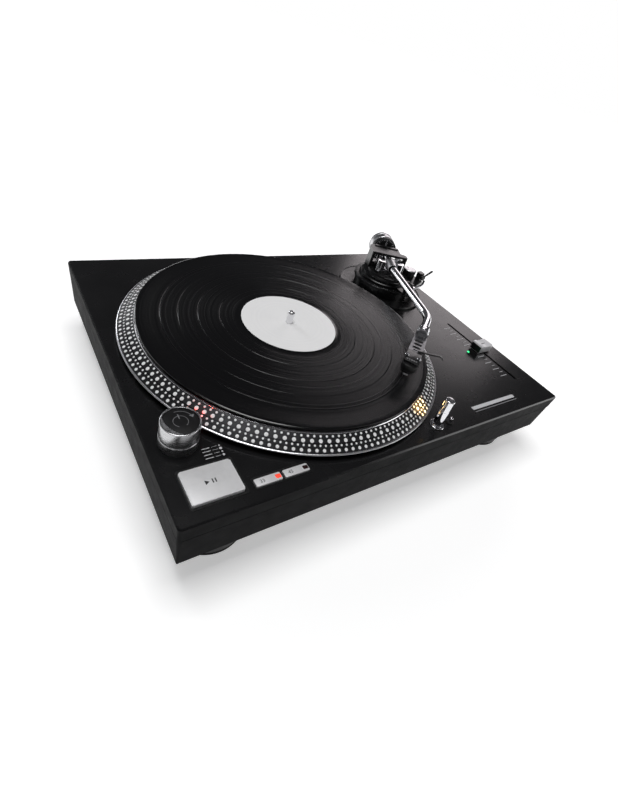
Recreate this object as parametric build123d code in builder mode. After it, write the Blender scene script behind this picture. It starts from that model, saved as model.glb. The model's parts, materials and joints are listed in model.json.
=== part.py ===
from build123d import *
from math import cos, sin, tan, radians, pi
import os

# Direct-drive record player, millimetres. The floor under the feet is Z = 0,
# X runs left to right along the front, Y runs from front to back.

# ---------------------------------------------------------------- dimensions
ZP = 82.0                       # top face of the chassis plate above the floor
LEN, DEP = 450.0, 353.0         # plan size of the chassis at its top edge
DRAFT = 5.0                     # inward draft of the side walls, degrees
SEAM = 16.0                     # parting line below the top face
BASE = 48.7                     # underside of the body below the top face
WALL = 5.0
T_PLATE = 3.2                   # chassis plate thickness
FOOT_R, FOOT_X, FOOT_YF, FOOT_YB = 35.5, 177.7, -126.5, 124.0

SX, SY = -48.3, -2.4            # spindle axis
SPINDLE_R = 3.6                 # fits a 7.24 mm record hole
RECORD_R = 150.8                # twelve-inch record
PLATTER_R = 166.2
MAT_R = 148.2

PX, PY = 152.5, 77.0            # tonearm pivot axis
AZ = ZP + 39.5                  # height of the tonearm axis
ARM_ANG = 28.0                  # rear axis of the arm, degrees from +Y towards +X
STEM_R = 30.0                   # height adjuster stem

KX, KY = -200.5, -106.0         # power knob
START_C, START_L, START_W = (-192.0, -149.5), 39.2, 28.8
B33_C, B45_C, SPD_L, SPD_W = (-152.7, -161.3), (-128.5, -161.3), 21.7, 6.7
TLX, TLY = 31.0, -161.3         # pop-up target light
TBX, TBY = 48.0, -163.0         # its release button
FX, FY = 195.5, -78.0           # pitch fader slot centre
SLOT_L, SLOT_W = 112.0, 3.6
AKX, AKY = 190.4, 69.4          # anti-skate dial
CPX, CPY = 201.5, 58.0          # cue post
CLX, CLZ = CPX - 1.0, 27.5      # cue lever axis

TD = tan(radians(DRAFT))


def z(h):
    """Height above the chassis plate -> height above the floor."""
    return ZP + h


os.makedirs("parts", exist_ok=True)

# local frames ---------------------------------------------------------------
ca, sa = cos(radians(ARM_ANG)), sin(radians(ARM_ANG))


def arm_plane(h):
    """Plan frame at the pivot: x to the right of the arm, y to its rear."""
    return Plane(origin=(PX, PY, z(h)), x_dir=(ca, -sa, 0), z_dir=(0, 0, 1))


def along_arm(a):
    """Section frame across the arm's rear axis at distance a behind the pivot."""
    return Plane(origin=(PX + a * sa, PY + a * ca, AZ), x_dir=(ca, -sa, 0), z_dir=(sa, ca, 0))


hx, hy = -0.8097, -0.5868       # direction the headshell points in
HOX, HOY = 72.3, -74.4          # front face of the headshell nut


def shell_plane(h):
    """Plan frame of the headshell: x forwards, y to its right."""
    return Plane(origin=(HOX, HOY, z(h)), x_dir=(hx, hy, 0), z_dir=(0, 0, 1))


def along_shell(d):
    return Plane(origin=(HOX + d * hx, HOY + d * hy, AZ), x_dir=(-hy, hx, 0), z_dir=(hx, hy, 0))


# ================================================================== chassis
# Top cover: drafted shell, closed above, with the cut-outs of every control.
with BuildPart() as top_chassis:
    with BuildSketch(Plane.XY.offset(z(0))):
        RectangleRounded(LEN, DEP, 3.5)
    extrude(amount=-(SEAM - 0.3), taper=DRAFT)
    chamfer(top_chassis.faces().sort_by(Axis.Z)[-1].edges(), 1.3)
    with BuildSketch(Plane.XY.offset(z(-SEAM + 0.3))):
        RectangleRounded(LEN - 2 * 6.5, DEP - 2 * 6.5, 3)
    extrude(amount=SEAM - 0.3 - T_PLATE, mode=Mode.SUBTRACT)
    with BuildSketch(Plane.XY.offset(z(0))):
        with Locations((SX, SY)):
            Circle(45.0)
        with Locations((PX, PY)):
            Circle(28.0)
        with Locations((-191.1, -148.9)):
            RectangleRounded(43.5, 34.5, 2.0)
        with Locations((-140.0, -160.7)):
            RectangleRounded(49.4, 10.8, 1.0)
        with Locations((FX, FY)):
            SlotOverall(SLOT_L + SLOT_W, SLOT_W, rotation=90)
        with Locations((173.3, FY)):
            Circle(1.5)
        with Locations((TLX, TLY)):
            Circle(6.2)
        with Locations((TBX, TBY)):
            Circle(4.0)
        with Locations((KX, KY)):
            Circle(5.0)
    extrude(amount=-T_PLATE, mode=Mode.SUBTRACT)
    # ribs under the plate
    with BuildSketch(Plane.XY.offset(z(-T_PLATE))):
        with Locations((95, 0), (-120, 118), (60, 118)):
            Rectangle(2.5, 90)
        with Locations((0, 140), (20, -120)):
            Rectangle(150, 2.5)
    extrude(amount=-8)
top_chassis.part.label = "top_chassis"
export_step(top_chassis.part, "parts/top_chassis.step")

# Lower body: drafted frame with screw posts and two windows in the back wall.
with BuildPart() as lower_body:
    with BuildSketch(Plane.XY.offset(z(-SEAM - 0.3))):
        RectangleRounded(LEN - 2 * (SEAM + 0.3) * TD, DEP - 2 * (SEAM + 0.3) * TD, 3.5)
    extrude(amount=-(BASE - SEAM - 0.3), taper=DRAFT)
    with BuildSketch(Plane.XY.offset(z(-SEAM - 0.3))):
        RectangleRounded(LEN - 2 * ((SEAM + 0.3) * TD + WALL), DEP - 2 * ((SEAM + 0.3) * TD + WALL), 3)
    extrude(amount=-(BASE - SEAM - 0.3), taper=DRAFT, mode=Mode.SUBTRACT)
    # locating tongue that carries the top cover
    with BuildSketch(Plane.XY.offset(z(-SEAM - 2.5))):
        RectangleRounded(LEN - 13.6, DEP - 13.6, 3)
        RectangleRounded(LEN - 17, DEP - 17, 2, mode=Mode.SUBTRACT)
    extrude(amount=6.5)
    with BuildSketch(Plane.XY.offset(z(-BASE + 3.0))):
        with Locations((210, 60), (210, -60), (-210, 60), (-210, -60),
                       (90, -162), (-90, -162), (70, 162), (-70, 162)):
            Circle(8)
    extrude(amount=BASE - SEAM - 4.0)
    with BuildSketch(Plane.XY.offset(z(-BASE + 3.0))):
        with Locations((210, 60), (210, -60), (-210, 60), (-210, -60),
                       (90, -162), (-90, -162), (70, 162), (-70, 162)):
            Circle(1.6)
    extrude(amount=12, mode=Mode.SUBTRACT)
    with BuildSketch(Plane.XZ.offset(-180)):
        with Locations((135, z(-32)), (-155, z(-32))):
            Rectangle(84, 24)
    extrude(amount=16, mode=Mode.SUBTRACT)
lower_body.part.label = "lower_body"
export_step(lower_body.part, "parts/lower_body.step")

SCREWS = [(210, 60), (210, -60), (-210, 60), (-210, -60), (90, -162), (-90, -162), (70, 162), (-70, 162)]
FEET = [(-FOOT_X, FOOT_YF), (FOOT_X, FOOT_YF), (-FOOT_X, FOOT_YB), (FOOT_X, FOOT_YB)]

with BuildPart() as bottom_cover:
    with BuildSketch(Plane.XY.offset(z(-BASE))):
        RectangleRounded(430.6, 333.6, 3)
    extrude(amount=3.0)
    with Locations(*[(x, y, z(-BASE)) for x, y in SCREWS]):
        Cylinder(1.8, 20, mode=Mode.SUBTRACT)
        Cylinder(3.7, 4.0, mode=Mode.SUBTRACT)
    with Locations(*[(x, y, z(-BASE)) for x, y in FEET]):
        Cylinder(5.05, 20, mode=Mode.SUBTRACT)
    # ventilation slots
    with BuildSketch(Plane.XY.offset(z(-BASE))):
        with GridLocations(9, 30, 9, 1):
            SlotOverall(26, 3, rotation=90)
    extrude(amount=3.0, mode=Mode.SUBTRACT)
bottom_cover.part.label = "bottom_cover"
export_step(bottom_cover.part, "parts/bottom_cover.step")

with BuildPart() as chassis_screws:
    with Locations(*[(x, y, z(-BASE + 1.1)) for x, y in SCREWS]):
        Cylinder(3.4, 1.8)
    with Locations(*[(x, y, z(-BASE + 7.0)) for x, y in SCREWS]):
        Cylinder(1.55, 12)
    with Locations(*[(x, y, z(-BASE + 0.2)) for x, y in SCREWS]):
        Box(3.6, 0.8, 1.2, mode=Mode.SUBTRACT)
        Box(0.8, 3.6, 1.2, mode=Mode.SUBTRACT)
chassis_screws.part.label = "chassis_screws"
export_step(chassis_screws.part, "parts/chassis_screws.step")

# ============================================================ drive, internals
# Bearing housing: cup bolted under the plate with the spindle's bearing tube.
with BuildPart() as bearing_housing:
    with BuildSketch(Plane(origin=(SX, SY, 0), x_dir=(1, 0, 0), z_dir=(0, -1, 0))):
        with BuildLine():
            Polyline((0, z(-30)), (10, z(-30)), (10, z(-14)), (49, z(-14)), (49, z(-T_PLATE)),
                     (46, z(-T_PLATE)), (46, z(-12)), (10, z(-12)), (10, z(1)),
                     (3.65, z(1)), (3.65, z(-27)), (0, z(-27)), close=True)
        make_face()
    revolve(axis=Axis((SX, SY, 0), (0, 0, 1)))
bearing_housing.part.label = "bearing_housing"
export_step(bearing_housing.part, "parts/bearing_housing.step")

# Stator: base ring with twelve wound poles.
with BuildPart() as motor_stator:
    with BuildSketch(Plane(origin=(SX, SY, z(-12)))):
        Circle(44)
        Circle(10, mode=Mode.SUBTRACT)
    extrude(amount=2)
    with BuildSketch(Plane(origin=(SX, SY, z(-10)))):
        with PolarLocations(30, 12):
            RectangleRounded(20, 9, 2)
    extrude(amount=10.5)
motor_stator.part.label = "motor_stator"
export_step(motor_stator.part, "parts/motor_stator.step")

with BuildPart() as control_board:
    with BuildSketch(Plane.XY.offset(z(-40))):
        with Locations((-137, -108)):
            Rectangle(130, 76)
    extrude(amount=1.6)
    with BuildSketch(Plane.XY.offset(z(-BASE + 3.0))):
        with Locations((-196, -140), (-196, -76), (-78, -140), (-78, -76)):
            Circle(3)
    extrude(amount=BASE - 3.0 - 40.0)
    with BuildSketch(Plane.XY.offset(z(-38.4))):
        with Locations((-160, -100)):
            Rectangle(22, 22)
        with Locations((-120, -95), (-120, -120)):
            Rectangle(14, 7)
        with Locations((-90, -130)):
            Rectangle(20, 8)
    extrude(amount=2.2)
    with BuildSketch(Plane.XY.offset(z(-38.4))):
        with Locations((-185, -130), (-170, -130), (-92, -90), (-92, -104)):
            Circle(5)
    extrude(amount=13)
control_board.part.label = "control_board"
export_step(control_board.part, "parts/control_board.step")

with BuildPart() as power_supply:
    with BuildSketch(Plane.XY.offset(z(-BASE + 3.0))):
        with Locations((-150, 84)):
            RectangleRounded(92, 52, 3)
    extrude(amount=2)
    with BuildSketch(Plane.XY.offset(z(-BASE + 5.0))):
        with Locations((-150, 84)):
            Rectangle(58, 48)
    extrude(amount=20)
    with BuildSketch(Plane.XY.offset(z(-BASE + 8.0))):
        with Locations((-150, 84)):
            RectangleRounded(72, 30, 6)
    extrude(amount=14)
power_supply.part.label = "power_supply"
export_step(power_supply.part, "parts/power_supply.step")

# ============================================================== rear sockets
YR = 171.0                      # outer edge of the recess boxes
with BuildPart() as rear_panel:
    with BuildSketch(Plane.XZ.offset(-YR)):
        with Locations((135, z(-32)), (-155, z(-32))):
            Rectangle(83.6, 23.6)
    extrude(amount=22)
    with BuildSketch(Plane.XZ.offset(-YR)):
        with Locations((135, z(-32)), (-155, z(-32))):
            Rectangle(79.6, 19.6)
    extrude(amount=20, mode=Mode.SUBTRACT)
    with BuildSketch(Plane.XZ.offset(-YR)):
        with Locations((110, z(-32)), (128, z(-32))):
            Circle(3.0)
        with Locations((158, z(-32))):
            Circle(2.05)
        with Locations((-155, z(-32))):
            Rectangle(27, 19)
    extrude(amount=23, mode=Mode.SUBTRACT)
rear_panel.part.label = "rear_panel"
export_step(rear_panel.part, "parts/rear_panel.step")

YP = YR - 20.0                  # outer face of the recessed panels
with BuildPart() as signal_jacks:
    with BuildSketch(Plane.XZ.offset(-YP)):
        with Locations((110, z(-32)), (128, z(-32))):
            Circle(5.6)
    extrude(amount=-1.6)
    with BuildSketch(Plane.XZ.offset(-YP - 1.6)):
        with Locations((110, z(-32)), (128, z(-32))):
            Circle(4.15)
    extrude(amount=-8.4)
    with BuildSketch(Plane.XZ.offset(-YP)):
        with Locations((110, z(-32)), (128, z(-32))):
            Circle(3.0)
    extrude(amount=9)
    with BuildSketch(Plane.XZ.offset(-YP - 10.0)):
        with Locations((110, z(-32)), (128, z(-32))):
            Circle(1.7)
    extrude(amount=9, mode=Mode.SUBTRACT)
signal_jacks.part.label = "signal_jacks"
export_step(signal_jacks.part, "parts/signal_jacks.step")

with BuildPart() as mains_inlet:
    with BuildSketch(Plane.XZ.offset(-YP + 2)):
        with Locations((-155, z(-32))):
            Rectangle(27, 19)
    extrude(amount=-2)
    with BuildSketch(Plane.XZ.offset(-YP + 2)):
        with Locations((-155, z(-32))):
            RectangleRounded(29, 18.6, 2)
    extrude(amount=16)
    with BuildSketch(Plane.XZ.offset(-YP)):
        with Locations((-155, z(-32))):
            RectangleRounded(24.6, 15.6, 3)
    extrude(amount=16, mode=Mode.SUBTRACT)
    with BuildSketch(Plane.XZ.offset(-YP + 16)):
        with Locations((-155, z(-30)), (-162, z(-34)), (-148, z(-34))):
            Rectangle(2, 4)
    extrude(amount=-9)
mains_inlet.part.label = "mains_inlet"
export_step(mains_inlet.part, "parts/mains_inlet.step")

with BuildPart() as ground_terminal:
    with BuildSketch(Plane.XZ.offset(-YP - 0.4)):
        with Locations((158, z(-32))):
            RegularPolygon(5.2, 12)
    extrude(amount=-6)
    with BuildSketch(Plane.XZ.offset(-YP - 0.4)):
        with Locations((158, z(-32))):
            Circle(2.0)
    extrude(amount=6)
ground_terminal.part.label = "ground_terminal"
export_step(ground_terminal.part, "parts/ground_terminal.step")

# ====================================================================== feet
# Each foot: broad damping cup with a rubber tread and a levelling stud.
def foot_profile():
    Polyline((0, 2.0), (22, 2.0), (23.5, 0), (33.0, 0), (34.2, 1.2), (34.2, 7.0), (35.5, 8.6),
             (35.5, 30.0), (34.0, 31.6), (30.0, 32.9), (5.0, 32.9), (5.0, 39), (4.2, 40), (0, 40), close=True)


with BuildPart() as foot_front_left:
    with BuildSketch(Plane(origin=(-FOOT_X, FOOT_YF, 0), x_dir=(1, 0, 0), z_dir=(0, -1, 0))):
        with BuildLine():
            foot_profile()
        make_face()
    revolve(axis=Axis((-FOOT_X, FOOT_YF, 0), (0, 0, 1)))
foot_front_left.part.label = "foot_front_left"
export_step(foot_front_left.part, "parts/foot_front_left.step")

with BuildPart() as foot_front_right:
    with BuildSketch(Plane(origin=(FOOT_X, FOOT_YF, 0), x_dir=(1, 0, 0), z_dir=(0, -1, 0))):
        with BuildLine():
            foot_profile()
        make_face()
    revolve(axis=Axis((FOOT_X, FOOT_YF, 0), (0, 0, 1)))
foot_front_right.part.label = "foot_front_right"
export_step(foot_front_right.part, "parts/foot_front_right.step")

with BuildPart() as foot_rear_left:
    with BuildSketch(Plane(origin=(-FOOT_X, FOOT_YB, 0), x_dir=(1, 0, 0), z_dir=(0, -1, 0))):
        with BuildLine():
            foot_profile()
        make_face()
    revolve(axis=Axis((-FOOT_X, FOOT_YB, 0), (0, 0, 1)))
foot_rear_left.part.label = "foot_rear_left"
export_step(foot_rear_left.part, "parts/foot_rear_left.step")

with BuildPart() as foot_rear_right:
    with BuildSketch(Plane(origin=(FOOT_X, FOOT_YB, 0), x_dir=(1, 0, 0), z_dir=(0, -1, 0))):
        with BuildLine():
            foot_profile()
        make_face()
    revolve(axis=Axis((FOOT_X, FOOT_YB, 0), (0, 0, 1)))
foot_rear_right.part.label = "foot_rear_right"
export_step(foot_rear_right.part, "parts/foot_rear_right.step")

# =================================================================== platter
SP_PLANE = Plane(origin=(SX, SY, 0), x_dir=(1, 0, 0), z_dir=(0, -1, 0))
SP_AXIS = Axis((SX, SY, 0), (0, 0, 1))
with BuildPart() as platter:
    with BuildSketch(SP_PLANE):
        with BuildLine():
            Polyline((11.0, z(14.4)), (148.5, z(14.4)), (149.0, z(14.9)), (150.3, z(14.9)), (151.0, z(13.9)),
                     (164.4, z(5.9)), (165.2, z(5.8)), (166.0, z(5.4)), (166.2, z(4.9)), (165.9, z(4.3)),
                     (165.3, z(4.1)), (160.0, z(4.2)), (157.5, z(7.5)), (147.0, z(11.4)), (46.0, z(11.4)),
                     (46.0, z(9.1)), (11.0, z(9.1)), close=True)
        make_face()
    revolve(axis=SP_AXIS)
platter.part.label = "platter"
export_step(platter.part, "parts/platter.step")

with BuildPart() as rotor_magnet:
    with BuildSketch(Plane(origin=(SX, SY, z(4.5)))):
        Circle(43)
        Circle(30, mode=Mode.SUBTRACT)
    extrude(amount=4.6)
rotor_magnet.part.label = "rotor_magnet"
export_step(rotor_magnet.part, "parts/rotor_magnet.step")

with BuildPart() as spindle:
    with BuildSketch(SP_PLANE):
        with BuildLine():
            Polyline((0, z(-26.5)), (2.6, z(-26.5)), (3.6, z(-25.5)), (3.6, z(7)), (11.0, z(7)), (11.0, z(14.4)),
                     (3.6, z(14.4)), (3.6, z(30.6)), (2.9, z(31.6)), (1.6, z(32.6)), (0, z(33.0)), close=True)
        make_face()
    revolve(axis=SP_AXIS)
spindle.part.label = "spindle"
export_step(spindle.part, "parts/spindle.step")

with BuildPart() as slipmat:
    with BuildSketch(Plane(origin=(SX, SY, z(14.5)))):
        Circle(MAT_R)
        Circle(3.75, mode=Mode.SUBTRACT)
    extrude(amount=2.8)
slipmat.part.label = "slipmat"
export_step(slipmat.part, "parts/slipmat.step")

with BuildPart() as record:
    with BuildSketch(SP_PLANE):
        with BuildLine():
            Polyline((3.65, z(17.4)), (50.0, z(17.4)), (51.0, z(17.75)), (146.0, z(17.75)), (147.5, z(17.5)),
                     (149.8, z(17.5)), (150.8, z(18.1)), (150.8, z(18.6)), (149.8, z(19.2)),
                     (147.5, z(19.2)), (146.0, z(18.95)), (51.0, z(18.95)), (50.2, z(19.3)), (3.65, z(19.3)), close=True)
        make_face()
    revolve(axis=SP_AXIS)
record.part.label = "record"
export_step(record.part, "parts/record.step")

with BuildPart() as record_label:
    with BuildSketch(Plane(origin=(SX, SY, z(19.3)))):
        Circle(50.0)
        Circle(3.7, mode=Mode.SUBTRACT)
    extrude(amount=0.25)
record_label.part.label = "record_label"
export_step(record_label.part, "parts/record_label.step")

# ======================================================== power and strobe
# Fixed strobe housing with a lens facing the platter; the knob turns above it.
LD = (0.8267, 0.5627)
with BuildPart() as strobe_housing:
    with BuildSketch(Plane(origin=(KX, KY, z(0)))):
        Circle(15.2)
    extrude(amount=8.7)
    with BuildSketch(Plane(origin=(KX, KY, z(-14)))):
        Circle(5.0)
    extrude(amount=14)
    with BuildSketch(Plane(origin=(KX, KY, z(-14)))):
        Circle(3.05)
    extrude(amount=30, mode=Mode.SUBTRACT)
    with BuildSketch(Plane(origin=(KX, KY, z(1.8)), x_dir=(LD[0], LD[1], 0), z_dir=(0, 0, 1))):
        with Locations((13.5, 0)):
            Rectangle(9, 9)
    extrude(amount=5.4, mode=Mode.SUBTRACT)
strobe_housing.part.label = "strobe_housing"
export_step(strobe_housing.part, "parts/strobe_housing.step")

with BuildPart() as strobe_lens:
    with BuildSketch(Plane(origin=(KX, KY, z(1.8)), x_dir=(LD[0], LD[1], 0), z_dir=(0, 0, 1))):
        with Locations((12.6, 0)):
            Rectangle(7.2, 9)
    extrude(amount=5.4)
    fillet(strobe_lens.edges().filter_by(Axis.Z).sort_by(Axis.X)[-2:], 1.2)
strobe_lens.part.label = "strobe_lens"
export_step(strobe_lens.part, "parts/strobe_lens.step")

with BuildPart() as power_knob:
    with BuildSketch(Plane(origin=(KX, KY, z(9.0)))):
        Circle(15.0)
    extrude(amount=13.5)
    chamfer(power_knob.faces().sort_by(Axis.Z)[-1].edges(), 0.5)
    with BuildSketch(Plane(origin=(KX, KY, z(22.5)))):
        Circle(13.6)
    extrude(amount=-1.6, mode=Mode.SUBTRACT)
    with BuildSketch(Plane(origin=(KX, KY, z(9.0)))):
        Circle(3.0)
    extrude(amount=-23)
power_knob.part.label = "power_knob"
export_step(power_knob.part, "parts/power_knob.step")

with BuildPart() as knob_cap:
    with BuildSketch(Plane(origin=(KX, KY, z(20.9)))):
        Circle(13.6)
    extrude(amount=0.8)
knob_cap.part.label = "knob_cap"
export_step(knob_cap.part, "parts/knob_cap.step")

# ================================================================== buttons
with BuildPart() as start_stop_bezel:
    with BuildSketch(Plane.XY.offset(z(-9.5))):
        with Locations((-191.1, -148.9)):
            RectangleRounded(43.5, 34.5, 2.0)
    extrude(amount=9.8)
    with BuildSketch(Plane.XY.offset(z(-8.3))):
        with Locations(START_C):
            RectangleRounded(START_L + 0.7, START_W + 0.7, 1.2)
    extrude(amount=12, mode=Mode.SUBTRACT)
start_stop_bezel.part.label = "start_stop_bezel"
export_step(start_stop_bezel.part, "parts/start_stop_bezel.step")

with BuildPart() as start_stop_button:
    with BuildSketch(Plane.XY.offset(z(-5.0))):
        with Locations(START_C):
            RectangleRounded(START_L, START_W, 1.0)
    extrude(amount=8.0)
    chamfer(start_stop_button.faces().sort_by(Axis.Z)[-1].edges(), 0.7)
start_stop_button.part.label = "start_stop_button"
export_step(start_stop_button.part, "parts/start_stop_button.step")

with BuildPart() as speed_bezel:
    with BuildSketch(Plane.XY.offset(z(-7.0))):
        with Locations((-140.0, -160.7)):
            RectangleRounded(49.4, 10.8, 1.0)
    extrude(amount=7.3)
    with BuildSketch(Plane.XY.offset(z(-6.0))):
        with Locations(B33_C, B45_C):
            RectangleRounded(SPD_L + 0.7, SPD_W + 0.7, 0.6)
    extrude(amount=10, mode=Mode.SUBTRACT)
speed_bezel.part.label = "speed_bezel"
export_step(speed_bezel.part, "parts/speed_bezel.step")

with BuildPart() as speed_button_33:
    with BuildSketch(Plane.XY.offset(z(-4.0))):
        with Locations(B33_C):
            RectangleRounded(SPD_L, SPD_W, 0.6)
    extrude(amount=5.5)
    chamfer(speed_button_33.faces().sort_by(Axis.Z)[-1].edges(), 0.35)
speed_button_33.part.label = "speed_button_33"
export_step(speed_button_33.part, "parts/speed_button_33.step")

with BuildPart() as speed_button_45:
    with BuildSketch(Plane.XY.offset(z(-4.0))):
        with Locations(B45_C):
            RectangleRounded(SPD_L, SPD_W, 0.6)
    extrude(amount=5.5)
    chamfer(speed_button_45.faces().sort_by(Axis.Z)[-1].edges(), 0.35)
speed_button_45.part.label = "speed_button_45"
export_step(speed_button_45.part, "parts/speed_button_45.step")

# =============================================================== pitch fader
with BuildPart() as fader_track:
    with BuildSketch(Plane.XY.offset(z(-13.0))):
        with Locations((FX, FY)):
            Rectangle(14, 128)
    extrude(amount=13.0 - T_PLATE)
    with BuildSketch(Plane.XY.offset(z(-11.0))):
        with Locations((FX, FY)):
            Rectangle(9.2, 120)
    extrude(amount=11.0 - T_PLATE, mode=Mode.SUBTRACT)
fader_track.part.label = "fader_track"
export_step(fader_track.part, "parts/fader_track.step")

with BuildPart() as fader_cap:
    with BuildSketch(Plane.XZ.offset(-FY + 7.2)):
        with BuildLine():
            Polyline((FX - 11.6, z(1.0)), (FX + 11.6, z(1.0)), (FX + 11.2, z(9.6)), (FX + 9.6, z(11.0)), (FX + 6.0, z(10.2)),
                     (FX, z(9.2)), (FX - 6.0, z(10.2)), (FX - 9.6, z(11.0)), (FX - 11.2, z(9.6)), close=True)
        make_face()
    extrude(amount=-14.4)
    with BuildSketch(Plane.XY.offset(z(-5.5))):
        with Locations((FX, FY)):
            Rectangle(2.6, 8)
    extrude(amount=6.5)
    with BuildSketch(Plane.XY.offset(z(-9.5))):
        with Locations((FX, FY)):
            Rectangle(8.4, 9)
    extrude(amount=4.0)
fader_cap.part.label = "fader_cap"
export_step(fader_cap.part, "parts/fader_cap.step")

with BuildPart() as pitch_led:
    with BuildSketch(Plane(origin=(173.3, FY, z(-T_PLATE)))):
        Circle(1.5)
    extrude(amount=T_PLATE + 0.8)
    fillet(pitch_led.faces().sort_by(Axis.Z)[-1].edges(), 0.7)
pitch_led.part.label = "pitch_led"
export_step(pitch_led.part, "parts/pitch_led.step")

# ============================================================== target light
with BuildPart() as target_light_socket:
    with BuildSketch(Plane(origin=(TLX, TLY, z(-42)))):
        Circle(6.2)
    extrude(amount=42)
    with BuildSketch(Plane(origin=(TLX, TLY, z(0)))):
        Circle(7.2)
    extrude(amount=1.2)
    with BuildSketch(Plane(origin=(TLX, TLY, z(-40.5)))):
        Circle(4.62)
    extrude(amount=45, mode=Mode.SUBTRACT)
    with BuildSketch(Plane(origin=(TBX, TBY, z(-9)))):
        Circle(4.0)
    extrude(amount=10.2)
    with BuildSketch(Plane(origin=(TBX, TBY, z(-7.5)))):
        Circle(1.76)
    extrude(amount=12, mode=Mode.SUBTRACT)
target_light_socket.part.label = "target_light_socket"
export_step(target_light_socket.part, "parts/target_light_socket.step")

TL_ANG = 122.0                  # the lamp window faces the record
with BuildPart() as target_light:
    with BuildSketch(Plane(origin=(TLX, TLY, z(-8)))):
        Circle(4.55)
    extrude(amount=40)
    chamfer(target_light.faces().sort_by(Axis.Z)[-1].edges(), 0.6)
    with BuildSketch(Plane(origin=(TLX, TLY, z(20)), x_dir=(cos(radians(TL_ANG)), sin(radians(TL_ANG)), 0), z_dir=(0, 0, 1))):
        with Locations((4.3, 0)):
            Rectangle(3.2, 4.4)
    extrude(amount=9.5, mode=Mode.SUBTRACT)
target_light.part.label = "target_light"
export_step(target_light.part, "parts/target_light.step")

with BuildPart() as target_lamp:
    with BuildSketch(Plane(origin=(TLX, TLY, z(20)), x_dir=(cos(radians(TL_ANG)), sin(radians(TL_ANG)), 0), z_dir=(0, 0, 1))):
        with Locations((3.3, 0)):
            Rectangle(1.2, 4.4)
    extrude(amount=9.5)
target_lamp.part.label = "target_lamp"
export_step(target_lamp.part, "parts/target_lamp.step")

with BuildPart() as target_light_button:
    with BuildSketch(Plane(origin=(TBX, TBY, z(-5)))):
        Circle(1.7)
    extrude(amount=11)
    fillet(target_light_button.faces().sort_by(Axis.Z)[-1].edges(), 0.8)
target_light_button.part.label = "target_light_button"
export_step(target_light_button.part, "parts/target_light_button.step")

# ============================================================== tonearm base
PV_PLANE = Plane(origin=(PX, PY, 0), x_dir=(1, 0, 0), z_dir=(0, -1, 0))
PV_AXIS = Axis((PX, PY, 0), (0, 0, 1))
with BuildPart() as arm_base_plate:
    with BuildSketch(PV_PLANE):
        with BuildLine():
            Polyline((28, z(0)), (58.5, z(0)), (58.5, z(2.6)), (58.0, z(3.1)), (57.0, z(3.1)), (56.4, z(2.4)), (28, z(2.4)), close=True)
        make_face()
    revolve(axis=PV_AXIS)
arm_base_plate.part.label = "arm_base_plate"
export_step(arm_base_plate.part, "parts/arm_base_plate.step")

LOCK_ANG = -52.0
with BuildPart() as arm_base:
    with BuildSketch(PV_PLANE):
        with BuildLine():
            Polyline((STEM_R + 0.05, z(2.4)), (38.0, z(2.4)), (38.0, z(11.4)), (37.2, z(12.2)), (STEM_R + 0.05, z(12.2)), close=True)
        make_face()
    revolve(axis=PV_AXIS)
    with BuildSketch(Plane(origin=(PX, PY, z(7.4)), x_dir=(0, 0, 1), z_dir=(cos(radians(LOCK_ANG)), sin(radians(LOCK_ANG)), 0))):
        Circle(1.56)
    extrude(amount=45, mode=Mode.SUBTRACT)
arm_base.part.label = "arm_base"
export_step(arm_base.part, "parts/arm_base.step")

LOCK_DIR = (cos(radians(LOCK_ANG)), sin(radians(LOCK_ANG)), 0)
with BuildPart() as lock_lever:
    with BuildSketch(Plane(origin=(PX + 31.5 * LOCK_DIR[0], PY + 31.5 * LOCK_DIR[1], z(7.4)), x_dir=(-LOCK_DIR[1], LOCK_DIR[0], 0), z_dir=LOCK_DIR)):
        Circle(1.5)
    extrude(amount=12)
    with BuildSketch(Plane(origin=(PX + 42.0 * LOCK_DIR[0], PY + 42.0 * LOCK_DIR[1], z(7.4)), x_dir=(-LOCK_DIR[1], LOCK_DIR[0], 0), z_dir=LOCK_DIR)):
        Circle(3.8)
        with Locations((6.5, 0)):
            SlotOverall(14, 3.4)
    extrude(amount=2.6)
lock_lever.part.label = "lock_lever"
export_step(lock_lever.part, "parts/lock_lever.step")

with BuildPart() as height_ring:
    with BuildSketch(PV_PLANE):
        with BuildLine():
            Polyline((STEM_R + 0.4, z(12.5)), (40.4, z(12.5)), (41.0, z(13.1)), (41.0, z(16.9)), (40.4, z(17.5)), (STEM_R + 0.4, z(17.5)), close=True)
        make_face()
    revolve(axis=PV_AXIS)
height_ring.part.label = "height_ring"
export_step(height_ring.part, "parts/height_ring.step")

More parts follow.
